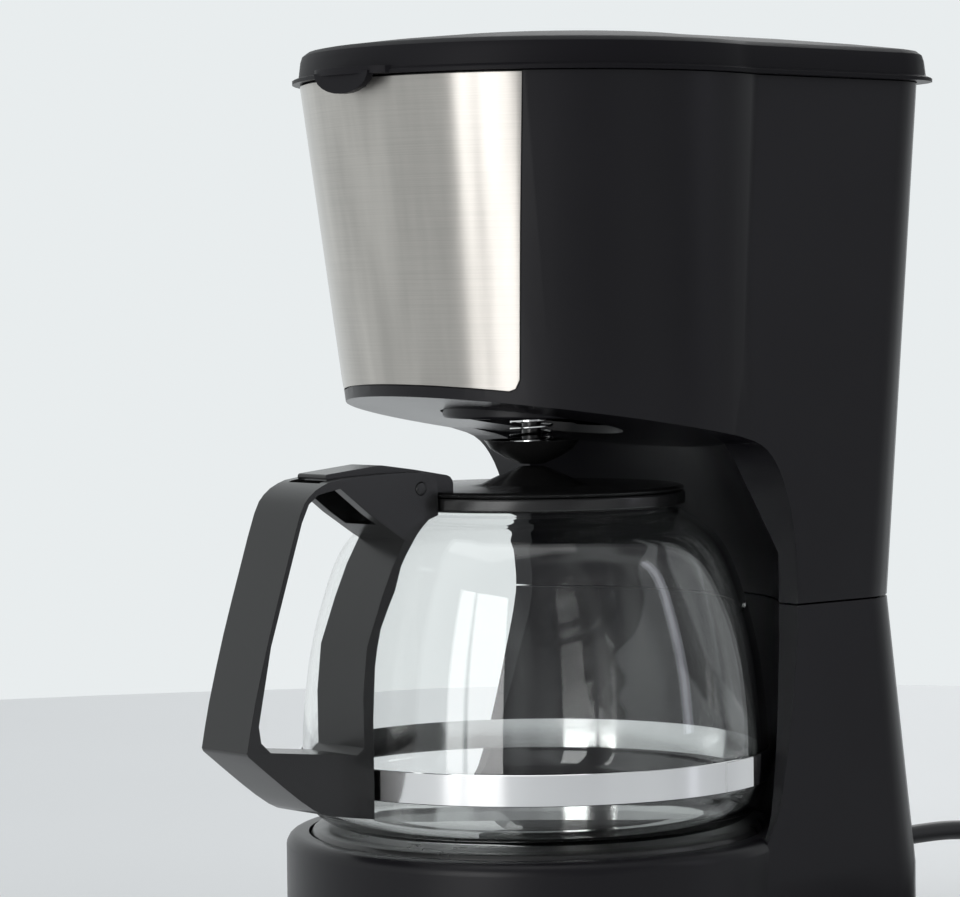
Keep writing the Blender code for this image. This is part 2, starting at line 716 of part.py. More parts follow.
def upper_housing():
    """Round front and upper column in one moulding, open at the top and at the seam."""
    finish = satin_plastic()
    heights = [HEAD_LOW_Z - 12.0 * MM, 210.0 * MM, 245.0 * MM, HOUSING_TOP]
    shell = head("upper_housing", heights, 0.0, finish)
    join(shell, column("upper_column", [SEAM_Z + GAP, HOUSING_TOP], 0.0, finish))
    cut(shell, *bay_tools(0.0))
    heights = [HEAD_LOW_Z - 12.0 * MM, HOUSING_TOP + 5.0 * MM]
    hollow = head("hollow", heights, WALL, finish)
    heights = [SEAM_Z - 5.0 * MM, HOUSING_TOP + 5.0 * MM]
    join(hollow, column("hollow_column", heights, WALL, finish))
    cut(hollow, *bay_tools(WALL))
    cut(shell, hollow)
    ends = (UNDERSIDE_Z - 20.0 * MM, UNDERSIDE_Z + 20.0 * MM)
    cut(shell, loft("spout_hole", [circle(SPOUT_RADIUS + 0.8 * MM, z, 48) for z in ends], finish))
    above = HOUSING_TOP + 4.0 * MM
    cut(shell, panel_solid("panel_seat", -0.8 * MM, 2.0 * MM, above, PANEL_DROP, 0.35 * MM, finish))
    for side in (-1.0, 1.0):
        inner, outer = sorted((side * 20.4 * MM, side * 27.0 * MM))
        profile = rounded([
            (BACK_TOP - 2.0 * MM, HOUSING_TOP - 13.3 * MM, 0.0),
            (LID_PIVOT_Y + 3.2 * MM, HOUSING_TOP - 4.8 * MM, 1.5 * MM),
            (LID_PIVOT_Y + 3.2 * MM, LID_PIVOT_Z + 3.2 * MM, 3.1 * MM),
            (LID_PIVOT_Y - 3.2 * MM, LID_PIVOT_Z + 3.2 * MM, 3.1 * MM),
            (BACK_TOP - 0.7 * MM, HOUSING_TOP - 0.6 * MM, 0.0),
        ], 5)
        join(shell, prism("hinge_lug", profile, "x", inner, outer, finish))
    pin = [(x, LID_PIVOT_Y, LID_PIVOT_Z) for x in (-40.0 * MM, 40.0 * MM)]
    return cut(shell, tube("lug_bore", pin, PIN_BORE, finish))


# ---- lid ----------------------------------------------------------------------------------
def lid_ring(inset, z, spread=0.0):
    """Plan of the lid: round front, straight sides, rounded rear corners."""
    radius = HEAD_TOP_RADIUS + 0.6 * MM - inset + spread
    half = HALF_TOP + 2.4 * MM - inset + spread
    back = BACK_TOP + 3.0 * MM - inset + spread
    corner = max(1.0 * MM, COLUMN_CORNER + 2.0 * MM - inset + spread)
    side = math.degrees(math.acos(min(0.999, half / radius)))
    front = arc((0.0, HEAD_TOP_MIDDLE), radius, -180.0 - side, side, 36)
    rear = arc((half - corner, back - corner), corner, 0.0, 90.0, 6)
    rear += arc((corner - half, back - corner), corner, 90.0, 180.0, 6)
    return [Vector((x, y, z)) for x, y in front + rear]


def lid():
    """Domed lid with a flared lip, a finger tab at the front and a hinge knuckle at the back."""
    finish = satin_plastic()
    low = HOUSING_TOP + GAP
    edge = LID_EDGE_Z
    rings = [
        lid_ring(0.0, low, 2.0 * MM), lid_ring(0.0, low + 1.1 * MM, 2.0 * MM),
        lid_ring(0.0, low + 1.9 * MM), lid_ring(0.6 * MM, edge - 3.4 * MM),
        lid_ring(1.2 * MM, edge - 1.6 * MM), lid_ring(2.8 * MM, edge - 0.4 * MM),
        lid_ring(5.0 * MM, edge),
    ]
    middle = Vector((0.0, 24.0 * MM, 0.0))
    for share in (0.85, 0.62, 0.36):
        ring = []
        for point in lid_ring(5.0 * MM, edge + LID_DOME * (1.0 - share ** 2)):
            flat = Vector((point.x, point.y, 0.0))
            ring.append(middle + (flat - middle) * share + Vector((0.0, 0.0, point.z)))
        rings.append(ring)
    shell = loft("lid", rings, finish)
    inner = [lid_ring(2.6 * MM, low - 3.0 * MM), lid_ring(3.0 * MM, edge - 3.0 * MM)]
    cut(shell, loft("lid_hollow", inner, finish))
    front = HEAD_TOP_MIDDLE - HEAD_TOP_RADIUS - 0.6 * MM
    tongue = [
        Vector((17.0 * MM * math.sin(t), front - 6.4 * MM * math.cos(t) + 0.4 * MM))
        for t in [math.radians(-90.0 + 15.0 * i) for i in range(13)]
    ]
    outline = [(p.x, p.y) for p in tongue]
    join(shell, prism("tab_top", outline, "z", low + 0.15 * MM, low + 2.3 * MM, finish))
    flap = [
        (12.5 * MM * math.sin(t), low + 1.0 * MM - 6.4 * MM * math.cos(t))
        for t in [math.radians(-90.0 + 15.0 * i) for i in range(13)]
    ]
    join(shell, prism("tab_flap", flap, "y", front - 4.8 * MM, front - 2.4 * MM, finish))
    knuckle = [(x, LID_PIVOT_Y, LID_PIVOT_Z) for x in (-20.0 * MM, 20.0 * MM)]
    notch = [
        box(
            "lug_notch", (x - 3.7 * MM, LID_PIVOT_Y - 4.0 * MM, low - 2.0 * MM),
            (x + 3.7 * MM, LID_PIVOT_Y + 8.0 * MM, LID_PIVOT_Z + 4.4 * MM), finish,
        )
        for x in (-23.7 * MM, 23.7 * MM)
    ]
    cut(shell, *notch)
    join(shell, tube("knuckle", knuckle, 3.3 * MM, finish, sides=16))
    pin = [(x, LID_PIVOT_Y, LID_PIVOT_Z) for x in (-30.0 * MM, 30.0 * MM)]
    cut(shell, tube("knuckle_bore", pin, PIN_BORE, finish))
    tube(
        "lid_hinge_pin", [(x, LID_PIVOT_Y, LID_PIVOT_Z) for x in (-27.0 * MM, 27.0 * MM)],
        PIN_RADIUS, aluminium(),
    )


def spray_head():
    """Channel under the lid that carries the water from the riser to holes over the basket."""
    finish = inner_plastic()
    low = HOUSING_TOP + 1.0 * MM
    high = LID_EDGE_Z - 3.0 * MM - GAP
    plate = loft("spray_head", [circle(22.0 * MM, low, 32), circle(22.0 * MM, high, 32)], finish)
    channel = Vector((RISER_X, RISER_Y)).normalized()
    across = Vector((-channel.y, channel.x)) * 7.0 * MM
    end = Vector((RISER_X, RISER_Y)) + channel * 7.0 * MM
    corners = [across, -across, end - across, end + across]
    join(plate, prism("channel", [tuple(c) for c in corners], "z", low, high, finish))
    ends = (low - 2.0 * MM, low + 3.0 * MM)
    places = [(p.x, p.y) for p in circle(14.0 * MM, low, 6)]
    holes = [
        loft("drip_hole", [circle(1.4 * MM, z, 8, place) for z in ends], finish) for place in places
    ]
    inlet = loft("inlet", [circle(3.0 * MM, z, 12, (RISER_X, RISER_Y)) for z in ends], finish)
    cut(plate, *holes, inlet)


# ---- filter basket and drip stop ----------------------------------------------------------
def filter_basket():
    """Cone that hangs on the tank's rim and ends in a disc through the housing floor."""
    rim, top, spout = BASKET_RIM_Z, BASKET_TOP_RADIUS, SPOUT_RADIUS
    low = UNDERSIDE_Z + 1.4 * MM
    profile = [
        (4.0 * MM, low), (spout - 0.6 * MM, low), (spout, low + 0.6 * MM), (spout, low + 5.0 * MM),
        (spout + 2.0 * MM, low + 10.4 * MM), (41.0 * MM, low + 20.0 * MM), (top, rim - 1.7 * MM),
        (TANK_WELL + 1.6 * MM, rim - 1.7 * MM), (TANK_WELL + 1.6 * MM, rim), (top - 1.8 * MM, rim),
        (39.2 * MM, low + 20.8 * MM), (spout, low + 12.0 * MM), (12.0 * MM, low + 8.0 * MM),
        (10.0 * MM, low + 5.0 * MM), (4.0 * MM, low + 5.0 * MM),
    ]
    lathe("filter_basket", profile, satin_plastic(), 36)


def drip_stop():
    """Sprung valve that the jug's lid pushes up: saucer and stem, rubber seal and coil spring."""
    tip = JUG_PIVOT_Z + 5.2 * MM
    stem, neck = 3.0 * MM, 1.6 * MM
    seat = UNDERSIDE_Z + 10.4 * MM
    profile = [
        (0.0, tip), (3.8 * MM, tip), (8.6 * MM, tip + 2.0 * MM), (12.8 * MM, tip + 4.6 * MM),
        (14.9 * MM, tip + 7.4 * MM), (13.9 * MM, tip + 7.4 * MM), (11.6 * MM, tip + 5.8 * MM),
        (7.4 * MM, tip + 4.6 * MM), (stem, tip + 4.6 * MM), (stem, seat), (neck, seat),
        (neck, seat + 2.4 * MM), (stem, seat + 2.4 * MM), (stem + 1.0 * MM, seat + 3.0 * MM),
        (0.0, seat + 3.0 * MM),
    ]
    lathe("drip_stop_stem", profile, gloss_plastic(), 24)
    bore = neck + GAP
    ring = [
        (bore, seat + GAP), (8.0 * MM, seat + GAP), (8.0 * MM, seat + 2.1 * MM), (bore, seat + 2.1 * MM),
    ]
    lathe("drip_stop_seal", ring, rubber(), 20)
    low, high = tip + 5.4 * MM, UNDERSIDE_Z + 0.7 * MM
    wire, coil, turns, steps = 0.42 * MM, 6.4 * MM, 4.0, 12
    path = []
    for i in range(int(turns * steps) + 1):
        t = 2.0 * math.pi * i / steps
        path.append((coil * math.cos(t), coil * math.sin(t), level(low, high, i, 0, turns * steps)))
    tube("drip_stop_spring", path, wire, chrome(), sides=5)


# ---- jug ----------------------------------------------------------------------------------
def glass_profile():
    """Outer line of the glass from the middle of its foot to its rim (radius, height)."""
    points = [
        (58.0, 0.0), (64.6, 1.2), (69.4, 4.8), (71.7, 10.0), (72.3, 16.0), (72.2, 26.0), (71.4, 38.0),
        (69.6, 52.0), (66.4, 66.0), (61.4, 81.0), (56.4, 88.8), (50.6, 93.6), (46.2, 96.2), (44.6, 97.7),
        (44.6, 101.4),
    ]
    widest = max(r for r, z in points)
    return [Vector((r / widest * GLASS_RADIUS, JUG_BOTTOM + z * MM)) for r, z in points]


def jug_glass():
    """Thin-walled jug, open at the top."""
    outer = glass_profile()
    inner = []
    for i, point in enumerate(outer):
        along = (outer[min(i + 1, len(outer) - 1)] - outer[max(i - 1, 0)]).normalized()
        inner.append(point + Vector((-along.y, along.x)) * GLASS_WALL)
    inner[0] = Vector((outer[0].x - 3.0 * MM, outer[0].y + GLASS_WALL))
    inner[-1] = Vector((outer[-1].x - GLASS_WALL, outer[-1].y))
    line = [(0.0, JUG_BOTTOM + 1.4 * MM), (50.0 * MM, JUG_BOTTOM + 1.2 * MM)]
    line += [(p.x, p.y) for p in outer] + [(p.x, p.y) for p in reversed(inner)]
    line += [(48.0 * MM, JUG_BOTTOM + 3.2 * MM), (0.0, JUG_BOTTOM + 3.4 * MM)]
    lathe("jug_glass", line, glass(), 44)


def jug_fittings():
    """Steel band, collar with its spout notch, and the hinged lid with its thumb lever."""
    inner = GLASS_RADIUS + GAP
    outer = inner + 0.7 * MM
    band = [
        (inner, BAND_LOW), (outer - 0.2 * MM, BAND_LOW), (outer, BAND_LOW + 0.3 * MM),
        (outer, BAND_HIGH - 0.3 * MM), (outer - 0.2 * MM, BAND_HIGH), (inner, BAND_HIGH),
    ]
    lathe("jug_band", band, chrome(), 44)
    bore = glass_profile()[-1].x + GAP
    radius = COLLAR_RADIUS
    lathe(
        "jug_collar",
        [(bore, COLLAR_LOW), (radius - 0.6 * MM, COLLAR_LOW), (radius, COLLAR_LOW + 0.6 * MM),
         (radius, COLLAR_HIGH - 0.5 * MM), (radius - 0.5 * MM, COLLAR_HIGH), (41.4 * MM, COLLAR_HIGH),
         (41.4 * MM, COLLAR_HIGH - 0.4 * MM), (bore, COLLAR_HIGH - 0.4 * MM)],
        gloss_plastic(), 44,
    )
    low = COLLAR_HIGH + GAP
    tip = JUG_PIVOT_Z + 4.4 * MM
    cover = lathe(
        "jug_lid",
        [(0.0, low - 2.0 * MM), (39.8 * MM, low - 2.0 * MM), (39.8 * MM, low), (radius - 0.8 * MM, low),
         (radius - 0.2 * MM, low + 0.8 * MM), (radius - 1.4 * MM, low + 1.5 * MM),
         (20.0 * MM, low + 1.7 * MM), (16.0 * MM, low + 2.2 * MM), (5.4 * MM, tip - 0.6 * MM),
         (3.6 * MM, tip), (0.0, tip)],
        gloss_plastic(), 36,
    )
    half = LEVER_SLOT_HALF - 0.6 * MM
    arm = rounded([
        (-38.0 * MM, low + 0.2 * MM, 0.0), (-38.0 * MM, JUG_PIVOT_Z + 3.0 * MM, 3.0 * MM),
        (JUG_PIVOT_Y + 1.0 * MM, JUG_PIVOT_Z + 5.6 * MM, 4.0 * MM),
        (JUG_PIVOT_Y - 12.0 * MM, JUG_PIVOT_Z + 7.4 * MM, 8.0 * MM),
        (JUG_PIVOT_Y - 33.0 * MM, JUG_PIVOT_Z + 5.4 * MM, 0.9 * MM),
        (JUG_PIVOT_Y - 33.0 * MM, JUG_PIVOT_Z + 3.5 * MM, 0.9 * MM),
        (JUG_PIVOT_Y - 10.0 * MM, JUG_PIVOT_Z + 3.7 * MM, 5.0 * MM),
        (JUG_PIVOT_Y - 3.6 * MM, JUG_PIVOT_Z - 3.1 * MM, 2.8 * MM),
        (JUG_PIVOT_Y + 3.4 * MM, JUG_PIVOT_Z - 3.1 * MM, 1.0 * MM),
    ], 3)
    join(cover, prism("lever", arm, "x", -half, half, gloss_plastic()))
    pin = [(x, JUG_PIVOT_Y, JUG_PIVOT_Z) for x in (-30.0 * MM, 30.0 * MM)]
    cut(cover, tube("lever_bore", pin, JUG_PIN_BORE, gloss_plastic()))
    side = HANDLE_HALF + 0.4 * MM
    pin = [(x, JUG_PIVOT_Y, JUG_PIVOT_Z) for x in (-side, side)]
    tube("jug_hinge_pin", pin, JUG_PIN_RADIUS, gloss_plastic())


def handle_line(points):
    """A smooth line through (y, z) points given in millimetres."""
    return [point * MM for point in smooth(points, 2)]


def jug_handle():
    """Flat loop handle. Its top forks round the lid's hinge, its foot clasps the steel band."""
    finish = gloss_plastic()
    clear = -GLASS_RADIUS - 1.6 * MM
    top_end = -COLLAR_RADIUS - GAP
    back = [
        (-48.9, 156.4), (-51.4, 157.5), (-64.3, 157.8), (-84.4, 156.9), (-91.6, 155.4), (-97.0, 152.2),
        (-100.6, 146.8), (-106.2, 131.0), (-112.6, 112.0), (-118.2, 92.5), (-121.1, 79.4),
    ]
    foot = [(-120.6, 78.4), (-107.3, 68.0), (-96.8, 60.7), (-89.6, 58.2), (-75.0, 55.9)]
    glass_side = [
        (-73.0, 100.9), (-70.6, 112.0), (-64.9, 123.0), (-62.5, 130.0), (-58.5, 136.0), (-55.3, 140.0),
        (-51.5, 143.4),
    ]
    outer = handle_line(back) + handle_line(foot)
    outer += [Vector((clear, 55.9 * MM)), Vector((clear, 85.4 * MM))] + handle_line(glass_side)
    outer += [Vector((top_end, COLLAR_LOW - 0.6 * MM)), Vector((top_end, 154.8 * MM))]
    loop = prism("jug_handle", outer, "x", -HANDLE_HALF, HANDLE_HALF, finish)
    opening = [
        (-85.3, 154.1), (-93.4, 152.7), (-97.0, 150.1), (-99.8, 144.6), (-105.8, 127.0), (-111.8, 109.3),
        (-116.6, 86.9), (-115.8, 82.0), (-112.4, 78.9), (-80.3, 75.3), (-77.6, 77.2), (-77.7, 92.8),
        (-76.1, 106.8), (-70.4, 120.5), (-65.7, 130.2), (-60.9, 137.8), (-63.4, 139.2), (-74.6, 146.2),
    ]
    cut(loop, prism("opening", [(y * MM, z * MM) for y, z in opening], "x", -30.0 * MM, 30.0 * MM, finish))
    slot = [
        (-90.4 * MM, 168.0 * MM), (-90.4 * MM, 148.0 * MM), (-70.0 * MM, 142.6 * MM),
        (-60.0 * MM, 142.6 * MM), (-44.0 * MM, 143.0 * MM), (-44.0 * MM, 168.0 * MM),
    ]
    cut(loop, prism("lever_slot", slot, "x", -LEVER_SLOT_HALF, LEVER_SLOT_HALF, finish))
    pin = [(x, JUG_PIVOT_Y, JUG_PIVOT_Z) for x in (-30.0 * MM, 30.0 * MM)]
    cut(loop, tube("pin_bore", pin, JUG_PIN_BORE, finish))
    screw = [(0.0, y, BAND_SCREW_Z) for y in (-98.0 * MM, -70.0 * MM)]
    cut(loop, tube("screw_bore", screw, 1.9 * MM, finish))
    body = [(0.0, y, BAND_SCREW_Z) for y in (-89.0 * MM, -GLASS_RADIUS - 1.4 * MM)]
    tube("band_screw", body, 1.6 * MM, chrome())


# ---- cord ---------------------------------------------------------------------------------
def cord_parts():
    """Strain relief, free lead, coil and plug. The coil lies behind the machine, at its right."""
    black = rubber()
    back = column_size(CORD_Z)[1]
    relief_end = back + RELIEF_LENGTH
    outline = [
        (-6.0, 7.4), (-3.4, 7.4), (-3.4, 5.1), (GAP / MM, 5.1), (GAP / MM, 7.6), (3.0, 7.6), (4.0, 5.6),
        (RELIEF_LENGTH / MM, 3.9),
    ]
    profile = [(back + along * MM, radius * MM) for along, radius in outline]
    inner = CORD_RADIUS + GAP
    profile += [(relief_end, inner), (back - 6.0 * MM, inner)]
    turns = [2.0 * math.pi * k / 20 for k in range(20)]
    rings = [
        [Vector((CORD_X + r * math.cos(t), y, CORD_Z + r * math.sin(t))) for t in turns]
        for y, r in profile
    ]
    loft("cord_relief", rings, black, closed=True)
    free_cord("cord_lead", lead_route(back), black)
    thick = 2.0 * CORD_RADIUS
    inner, outer = COIL_RADII[0] - CORD_RADIUS, COIL_RADII[1] + CORD_RADIUS
    coil = [
        (inner, 0.0), (outer, 0.0), (outer, 2.0 * thick), (outer - thick, 2.0 * thick),
        (outer - thick, thick), (inner, thick),
    ]
    lathe("cord_coil", coil, black, 40, COIL_MIDDLE)
    free_cord("cord_tail", tail_route(), black)
    plug(tail_route()[-1])


def lead_route(back):
    """The lead from the strain relief to the coil, in metres."""
    points = [
        (22.0, back / MM - 5.0, 29.0), (22.0, back / MM + 14.0, 29.0), (22.0, 143.3, 29.0),
        (22.0, 155.0, 29.0),
        (22.0, 167.0, 28.6), (22.5, 180.0, 27.2), (24.0, 193.0, 24.0), (27.0, 206.0, 18.8),
        (32.0, 219.0, 12.8), (39.0, 231.0, 7.8), (48.0, 241.5, 4.6), (59.0, 249.5, 3.5), (71.0, 254.0, 3.3),
    ]
    return [(x * MM, y * MM, z * MM) for x, y, z in points]


def tail_route():
    """The last of the cord, from the coil's upper layer down to the plug."""
    x = (COIL_MIDDLE[0] + COIL_RADII[1] + 2.0 * CORD_RADIUS + GAP) / MM
    points = [
        (x, 206.0, 9.6), (x, 194.0, 9.5), (x + 0.4, 182.0, 9.2), (x + 0.4, 172.0, 9.0),
        (x + 0.4, 164.0, 9.0),
    ]
    return [(a * MM, b * MM, c * MM) for a, b, c in points]


def free_cord(name, route, finish):
    """A cord along its route, as a bevelled curve with closed ends."""
    line = smooth(route, 3)
    curve = bpy.data.curves.new(name, "CURVE")
    curve.dimensions = "3D"
    curve.bevel_depth = CORD_RADIUS
    curve.bevel_resolution = 2
    curve.use_fill_caps = True
    spline = curve.splines.new("POLY")
    spline.points.add(len(line) - 1)
    for point, place in zip(spline.points, line):
        point.co = (*place, 1.0)
    curve.materials.append(finish)
    bpy.context.scene.collection.objects.link(bpy.data.objects.new(name, curve))


def plug(entry):
    """Two-blade mains plug lying on its flat side, its blades towards the machine."""
    x, start, z = entry
    black = rubber()
    y = start - GAP
    sections = [
        (y, 4.4, 4.4), (y - 14.0 * MM, 5.6, 5.4), (y - 15.0 * MM, 10.6, 8.0), (y - 30.0 * MM, 13.0, 8.8),
        (y - 43.0 * MM, 13.0, 8.8),
    ]
    rings = []
    for at, half_x, half_z in sections:
        corner = 0.75 * min(half_x, half_z)
        outline = rounded([
            (-half_x, -half_z, corner), (half_x, -half_z, corner), (half_x, half_z, corner),
            (-half_x, half_z, corner),
        ], 3)
        rings.append([Vector((x + a * MM, at, z + b * MM)) for a, b in outline])
    body = loft("plug_body", rings, black)
    face = sections[-1][0]
    for side, name in ((-1.0, "plug_blade_left"), (1.0, "plug_blade_right")):
        middle = x + side * 6.35 * MM
        low = (middle - 0.75 * MM, face - 16.0 * MM, z - 3.2 * MM)
        high = (middle + 0.75 * MM, face + 8.0 * MM, z + 3.2 * MM)
        seat_low = (low[0] - GAP, face - 20.0 * MM, low[2] - GAP)
        seat_high = (high[0] + GAP, high[1] + GAP, high[2] + GAP)
        cut(body, box("blade_seat", seat_low, seat_high, black))
        box(name, low, high, chrome())


# ---- build --------------------------------------------------------------------------------
def clear_scene():
    for item in list(bpy.data.objects):
        bpy.data.objects.remove(item)


def main():
    clear_scene()
    base_housing()
    bottom_cover()
    feet_and_screws()
    heating()
    water_path()
    switch()
    upper_housing()
    panel_solid(
        "front_panel", -0.5 * MM, 0.2 * MM, HOUSING_TOP - GAP, PANEL_DROP, 0.0, steel(),
    )
    lid()
    spray_head()
    filter_basket()
    drip_stop()
    jug_glass()
    jug_fittings()
    jug_handle()
    cord_parts()


main()
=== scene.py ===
"""Looks of a drip coffee maker: moulded black housings, a brushed steel front, a glass jug with a
polished band and a glossy loop handle, and the mains cord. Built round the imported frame."""
import math

import bmesh
import bpy
from bpy.props import FloatProperty, FloatVectorProperty, PointerProperty
from mathutils import Matrix, Vector


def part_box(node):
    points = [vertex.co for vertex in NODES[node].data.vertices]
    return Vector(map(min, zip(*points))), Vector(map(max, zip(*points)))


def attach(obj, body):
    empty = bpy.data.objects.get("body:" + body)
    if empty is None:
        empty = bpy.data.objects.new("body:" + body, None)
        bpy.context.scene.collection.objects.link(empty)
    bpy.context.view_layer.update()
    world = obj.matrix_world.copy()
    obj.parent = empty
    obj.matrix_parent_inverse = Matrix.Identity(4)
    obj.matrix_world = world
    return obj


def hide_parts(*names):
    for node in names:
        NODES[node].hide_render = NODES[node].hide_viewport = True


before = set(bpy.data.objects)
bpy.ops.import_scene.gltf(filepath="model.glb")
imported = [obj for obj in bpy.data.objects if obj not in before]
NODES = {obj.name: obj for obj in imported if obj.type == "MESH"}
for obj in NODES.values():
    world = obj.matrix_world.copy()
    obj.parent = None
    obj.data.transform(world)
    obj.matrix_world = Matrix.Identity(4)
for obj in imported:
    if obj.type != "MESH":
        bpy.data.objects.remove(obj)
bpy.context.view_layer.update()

bl_info = {
    "name": "Drip Coffee Maker",
    "version": (1, 0, 0),
    "blender": (4, 5, 0),
    "location": "View3D > Sidebar > Coffee Maker",
    "description": "Gives a drip coffee maker its surfaces, glass, steel and cord",
    "category": "Object",
}

MM = 0.001
BLACK = (0.0066, 0.0061, 0.0078)


# ---- settings a user may change -----------------------------------------------------------
def colour_setting(name, description, default):
    return FloatVectorProperty(
        name=name, description=description, default=default, min=0.0, max=1.0, size=3, subtype="COLOR",
    )


def length_setting(name, description, default):
    return FloatProperty(name=name, description=description, default=default, min=0.0, unit="LENGTH")


class FinishSettings(bpy.types.PropertyGroup):
    """Colours of the finishes."""

    body: colour_setting("Housing", "Moulded housing plastic", BLACK)
    gloss: colour_setting("Gloss", "Handle and jug lid", (0.0060, 0.0050, 0.0052))
    steel: colour_setting("Steel front", "Brushed steel", (0.54, 0.515, 0.48))
    plate: colour_setting("Warming plate", "Coating of the warming plate", (0.012, 0.012, 0.012))
    tank: colour_setting("Inner parts", "Tank and spray head", (0.09, 0.09, 0.092))
    cord: colour_setting("Cord", "Cord and plug", (0.012, 0.012, 0.013))


class SizeSettings(bpy.types.PropertyGroup):
    """Sizes that the looks add to the frame."""

    edges: FloatProperty(
        name="Edge rounding", description="Share of each edge's usual rounding", default=1.0, min=0.0,
        max=1.5, subtype="FACTOR",
    )
    cord: length_setting("Cord diameter", "Diameter of the mains cord", 6.4 * MM)


class StageSettings(bpy.types.PropertyGroup):
    """Camera, counter and surroundings."""

    azimuth: FloatProperty(
        name="Azimuth", description="Camera's turn round the machine", default=math.radians(48.0),
        subtype="ANGLE",
    )
    distance: length_setting("Distance", "Camera to the jug's axis, level", 1.15)
    height: length_setting("Height", "Camera's height over the counter", 0.21)
    lens: FloatProperty(
        name="Lens", description="Focal length", default=139.3, min=1.0, subtype="DISTANCE_CAMERA",
    )
    floor: colour_setting("Floor", "Counter colour", (0.74, 0.75, 0.76))
    sky: colour_setting("Surroundings", "Colour of the room's light side", (0.81, 0.845, 0.855))
    shadow: colour_setting("Dark side", "Colour of the room's dark side", (0.22, 0.22, 0.235))


# ---- shader building ----------------------------------------------------------------------
MIXED_COLOUR = 2  # place of the colour among a Mix node's outputs
UNDERSIDE = -0.9  # faces whose normal points lower than this are undersides
SMOOTHER_BELOW = 0.33  # share of the roughness that undersides lose


class Reading:
    """A socket that takes part in arithmetic. Each operation adds a Math node."""

    def __init__(self, nodes, socket):
        self.nodes = nodes
        self.socket = socket

    def maths(self, operation, *values):
        return self.nodes.node("ShaderNodeMath", {"operation": operation}, dict(enumerate(values)))[0]

    def __add__(self, other):
        return self.maths("ADD", self, other)

    def __sub__(self, other):
        return self.maths("SUBTRACT", self, other)

    def __rsub__(self, other):
        return self.maths("SUBTRACT", other, self)

    def __mul__(self, other):
        return self.maths("MULTIPLY", self, other)

    def __lt__(self, other):
        return self.maths("LESS_THAN", self, other)

    def __gt__(self, other):
        return self.maths("GREATER_THAN", self, other)

    __radd__ = __add__
    __rmul__ = __mul__


class Nodes:
    """The nodes of a material or of the surroundings."""

    def __init__(self, tree):
        self.tree = tree

    def fill(self, socket, value):
        """Link a reading to a socket, or set the socket."""
        if isinstance(value, Reading):
            self.tree.links.new(value.socket, socket)
        else:
            socket.default_value = value

    def node(self, kind, settings=None, inputs=None):
        """Add a node: its settings first, then its sockets. Gives its outputs by name or place."""
        made = self.tree.nodes.new(kind)
        for setting, value in (settings or {}).items():
            setattr(made, setting, value)
        for socket, value in (inputs or {}).items():
            self.fill(made.inputs[socket], value)
        outputs = {output.name: Reading(self, output) for output in made.outputs}
        outputs.update({place: Reading(self, output) for place, output in enumerate(made.outputs)})
        return outputs

    def blend(self, amount, low, high):
        """Colour between two, by an amount from 0 to 1."""
        inputs = {"Factor": amount, "A": (*low, 1.0), "B": (*high, 1.0)}
        return self.node("ShaderNodeMix", {"data_type": "RGBA"}, inputs)[MIXED_COLOUR]


class Finish(Nodes):
    """One material and the nodes that make it."""

    def __init__(self, name, colour, roughness, metallic=0.0, **sockets):
        self.material = bpy.data.materials.new(name)
        self.material.use_nodes = True
        super().__init__(self.material.node_tree)
        self.shader = self.tree.nodes["Principled BSDF"]
        self.put("Base Color", (*colour, 1.0))
        self.put("Roughness", roughness)
        self.put("Metallic", metallic)
        for socket, value in sockets.items():
            self.put(socket.replace("_", " "), value)

    def put(self, socket, value):
        """Set one of the surface shader's sockets, or link it."""
        self.fill(self.shader.inputs[socket], value)

    def place(self, stretch=(1.0, 1.0, 1.0)):
        """Position in the machine's frame, in metres, stretched."""
        where = self.node("ShaderNodeTexCoord")["Object"]
        return self.node("ShaderNodeVectorMath", {"operation": "MULTIPLY"}, {0: where, 1: stretch})[0]

    def noise(self, scale, stretch=(1.0, 1.0, 1.0), detail=2.0):
        """Noise from 0 to 1, scale in cells to the metre."""
        inputs = {"Vector": self.place(stretch), "Scale": scale, "Detail": detail}
        return self.node("ShaderNodeTexNoise", None, inputs)["Fac"]

    def bump(self, height, distance, strength):
        """Relief from a height of 0 to 1 times the distance in metres."""
        inputs = {"Height": height, "Distance": distance, "Strength": strength}
        self.put("Normal", self.node("ShaderNodeBump", None, inputs)["Normal"])

    def tint(self, amount, colour, darkest, lightest):
        """Vary the base colour between two shares of it, by an amount from 0 to 1."""
        self.put("Base Color", self.blend(amount, shade(colour, darkest), shade(colour, lightest)))


def shade(colour, share):
    """A colour made darker or lighter."""
    return tuple(min(1.0, part * share) for part in colour)


def moulded_plastic(name, colour, sheen, roughness):
    """Fine-textured satin moulding, a little uneven in sheen and smoother on its undersides."""
    finish = Finish(name, colour, roughness, Specular_IOR_Level=sheen)
    cloud = finish.noise(22.0, detail=3.0)
    grain = finish.noise(2600.0, detail=1.0)
    normal = finish.node("ShaderNodeNewGeometry")["Normal"]
    upright = finish.node("ShaderNodeSeparateXYZ", None, {"Vector": normal})["Z"]
    smoothed = 1.0 - SMOOTHER_BELOW * (upright < UNDERSIDE)
    finish.put("Roughness", ((roughness - 0.08) + cloud * 0.12 + grain * 0.05) * smoothed)
    finish.tint(cloud, colour, 0.85, 1.2)
    finish.bump(grain, 0.04 * MM, 0.2)
    return finish.material


def gloss_plastic(colour):
    """Polished moulding with very slight waves and finger marks."""
    finish = Finish(
        "gloss_plastic", colour, 0.08, Coat_Weight=0.15, Coat_Roughness=0.03, Specular_IOR_Level=0.36,
    )
    wave = finish.noise(45.0, (1.0, 1.0, 0.4), 2.0)
    finish.put("Roughness", 0.05 + wave * 0.12)
    finish.tint(wave, colour, 0.8, 1.5)
    finish.bump(wave, 0.20 * MM, 0.4)
    return finish.material


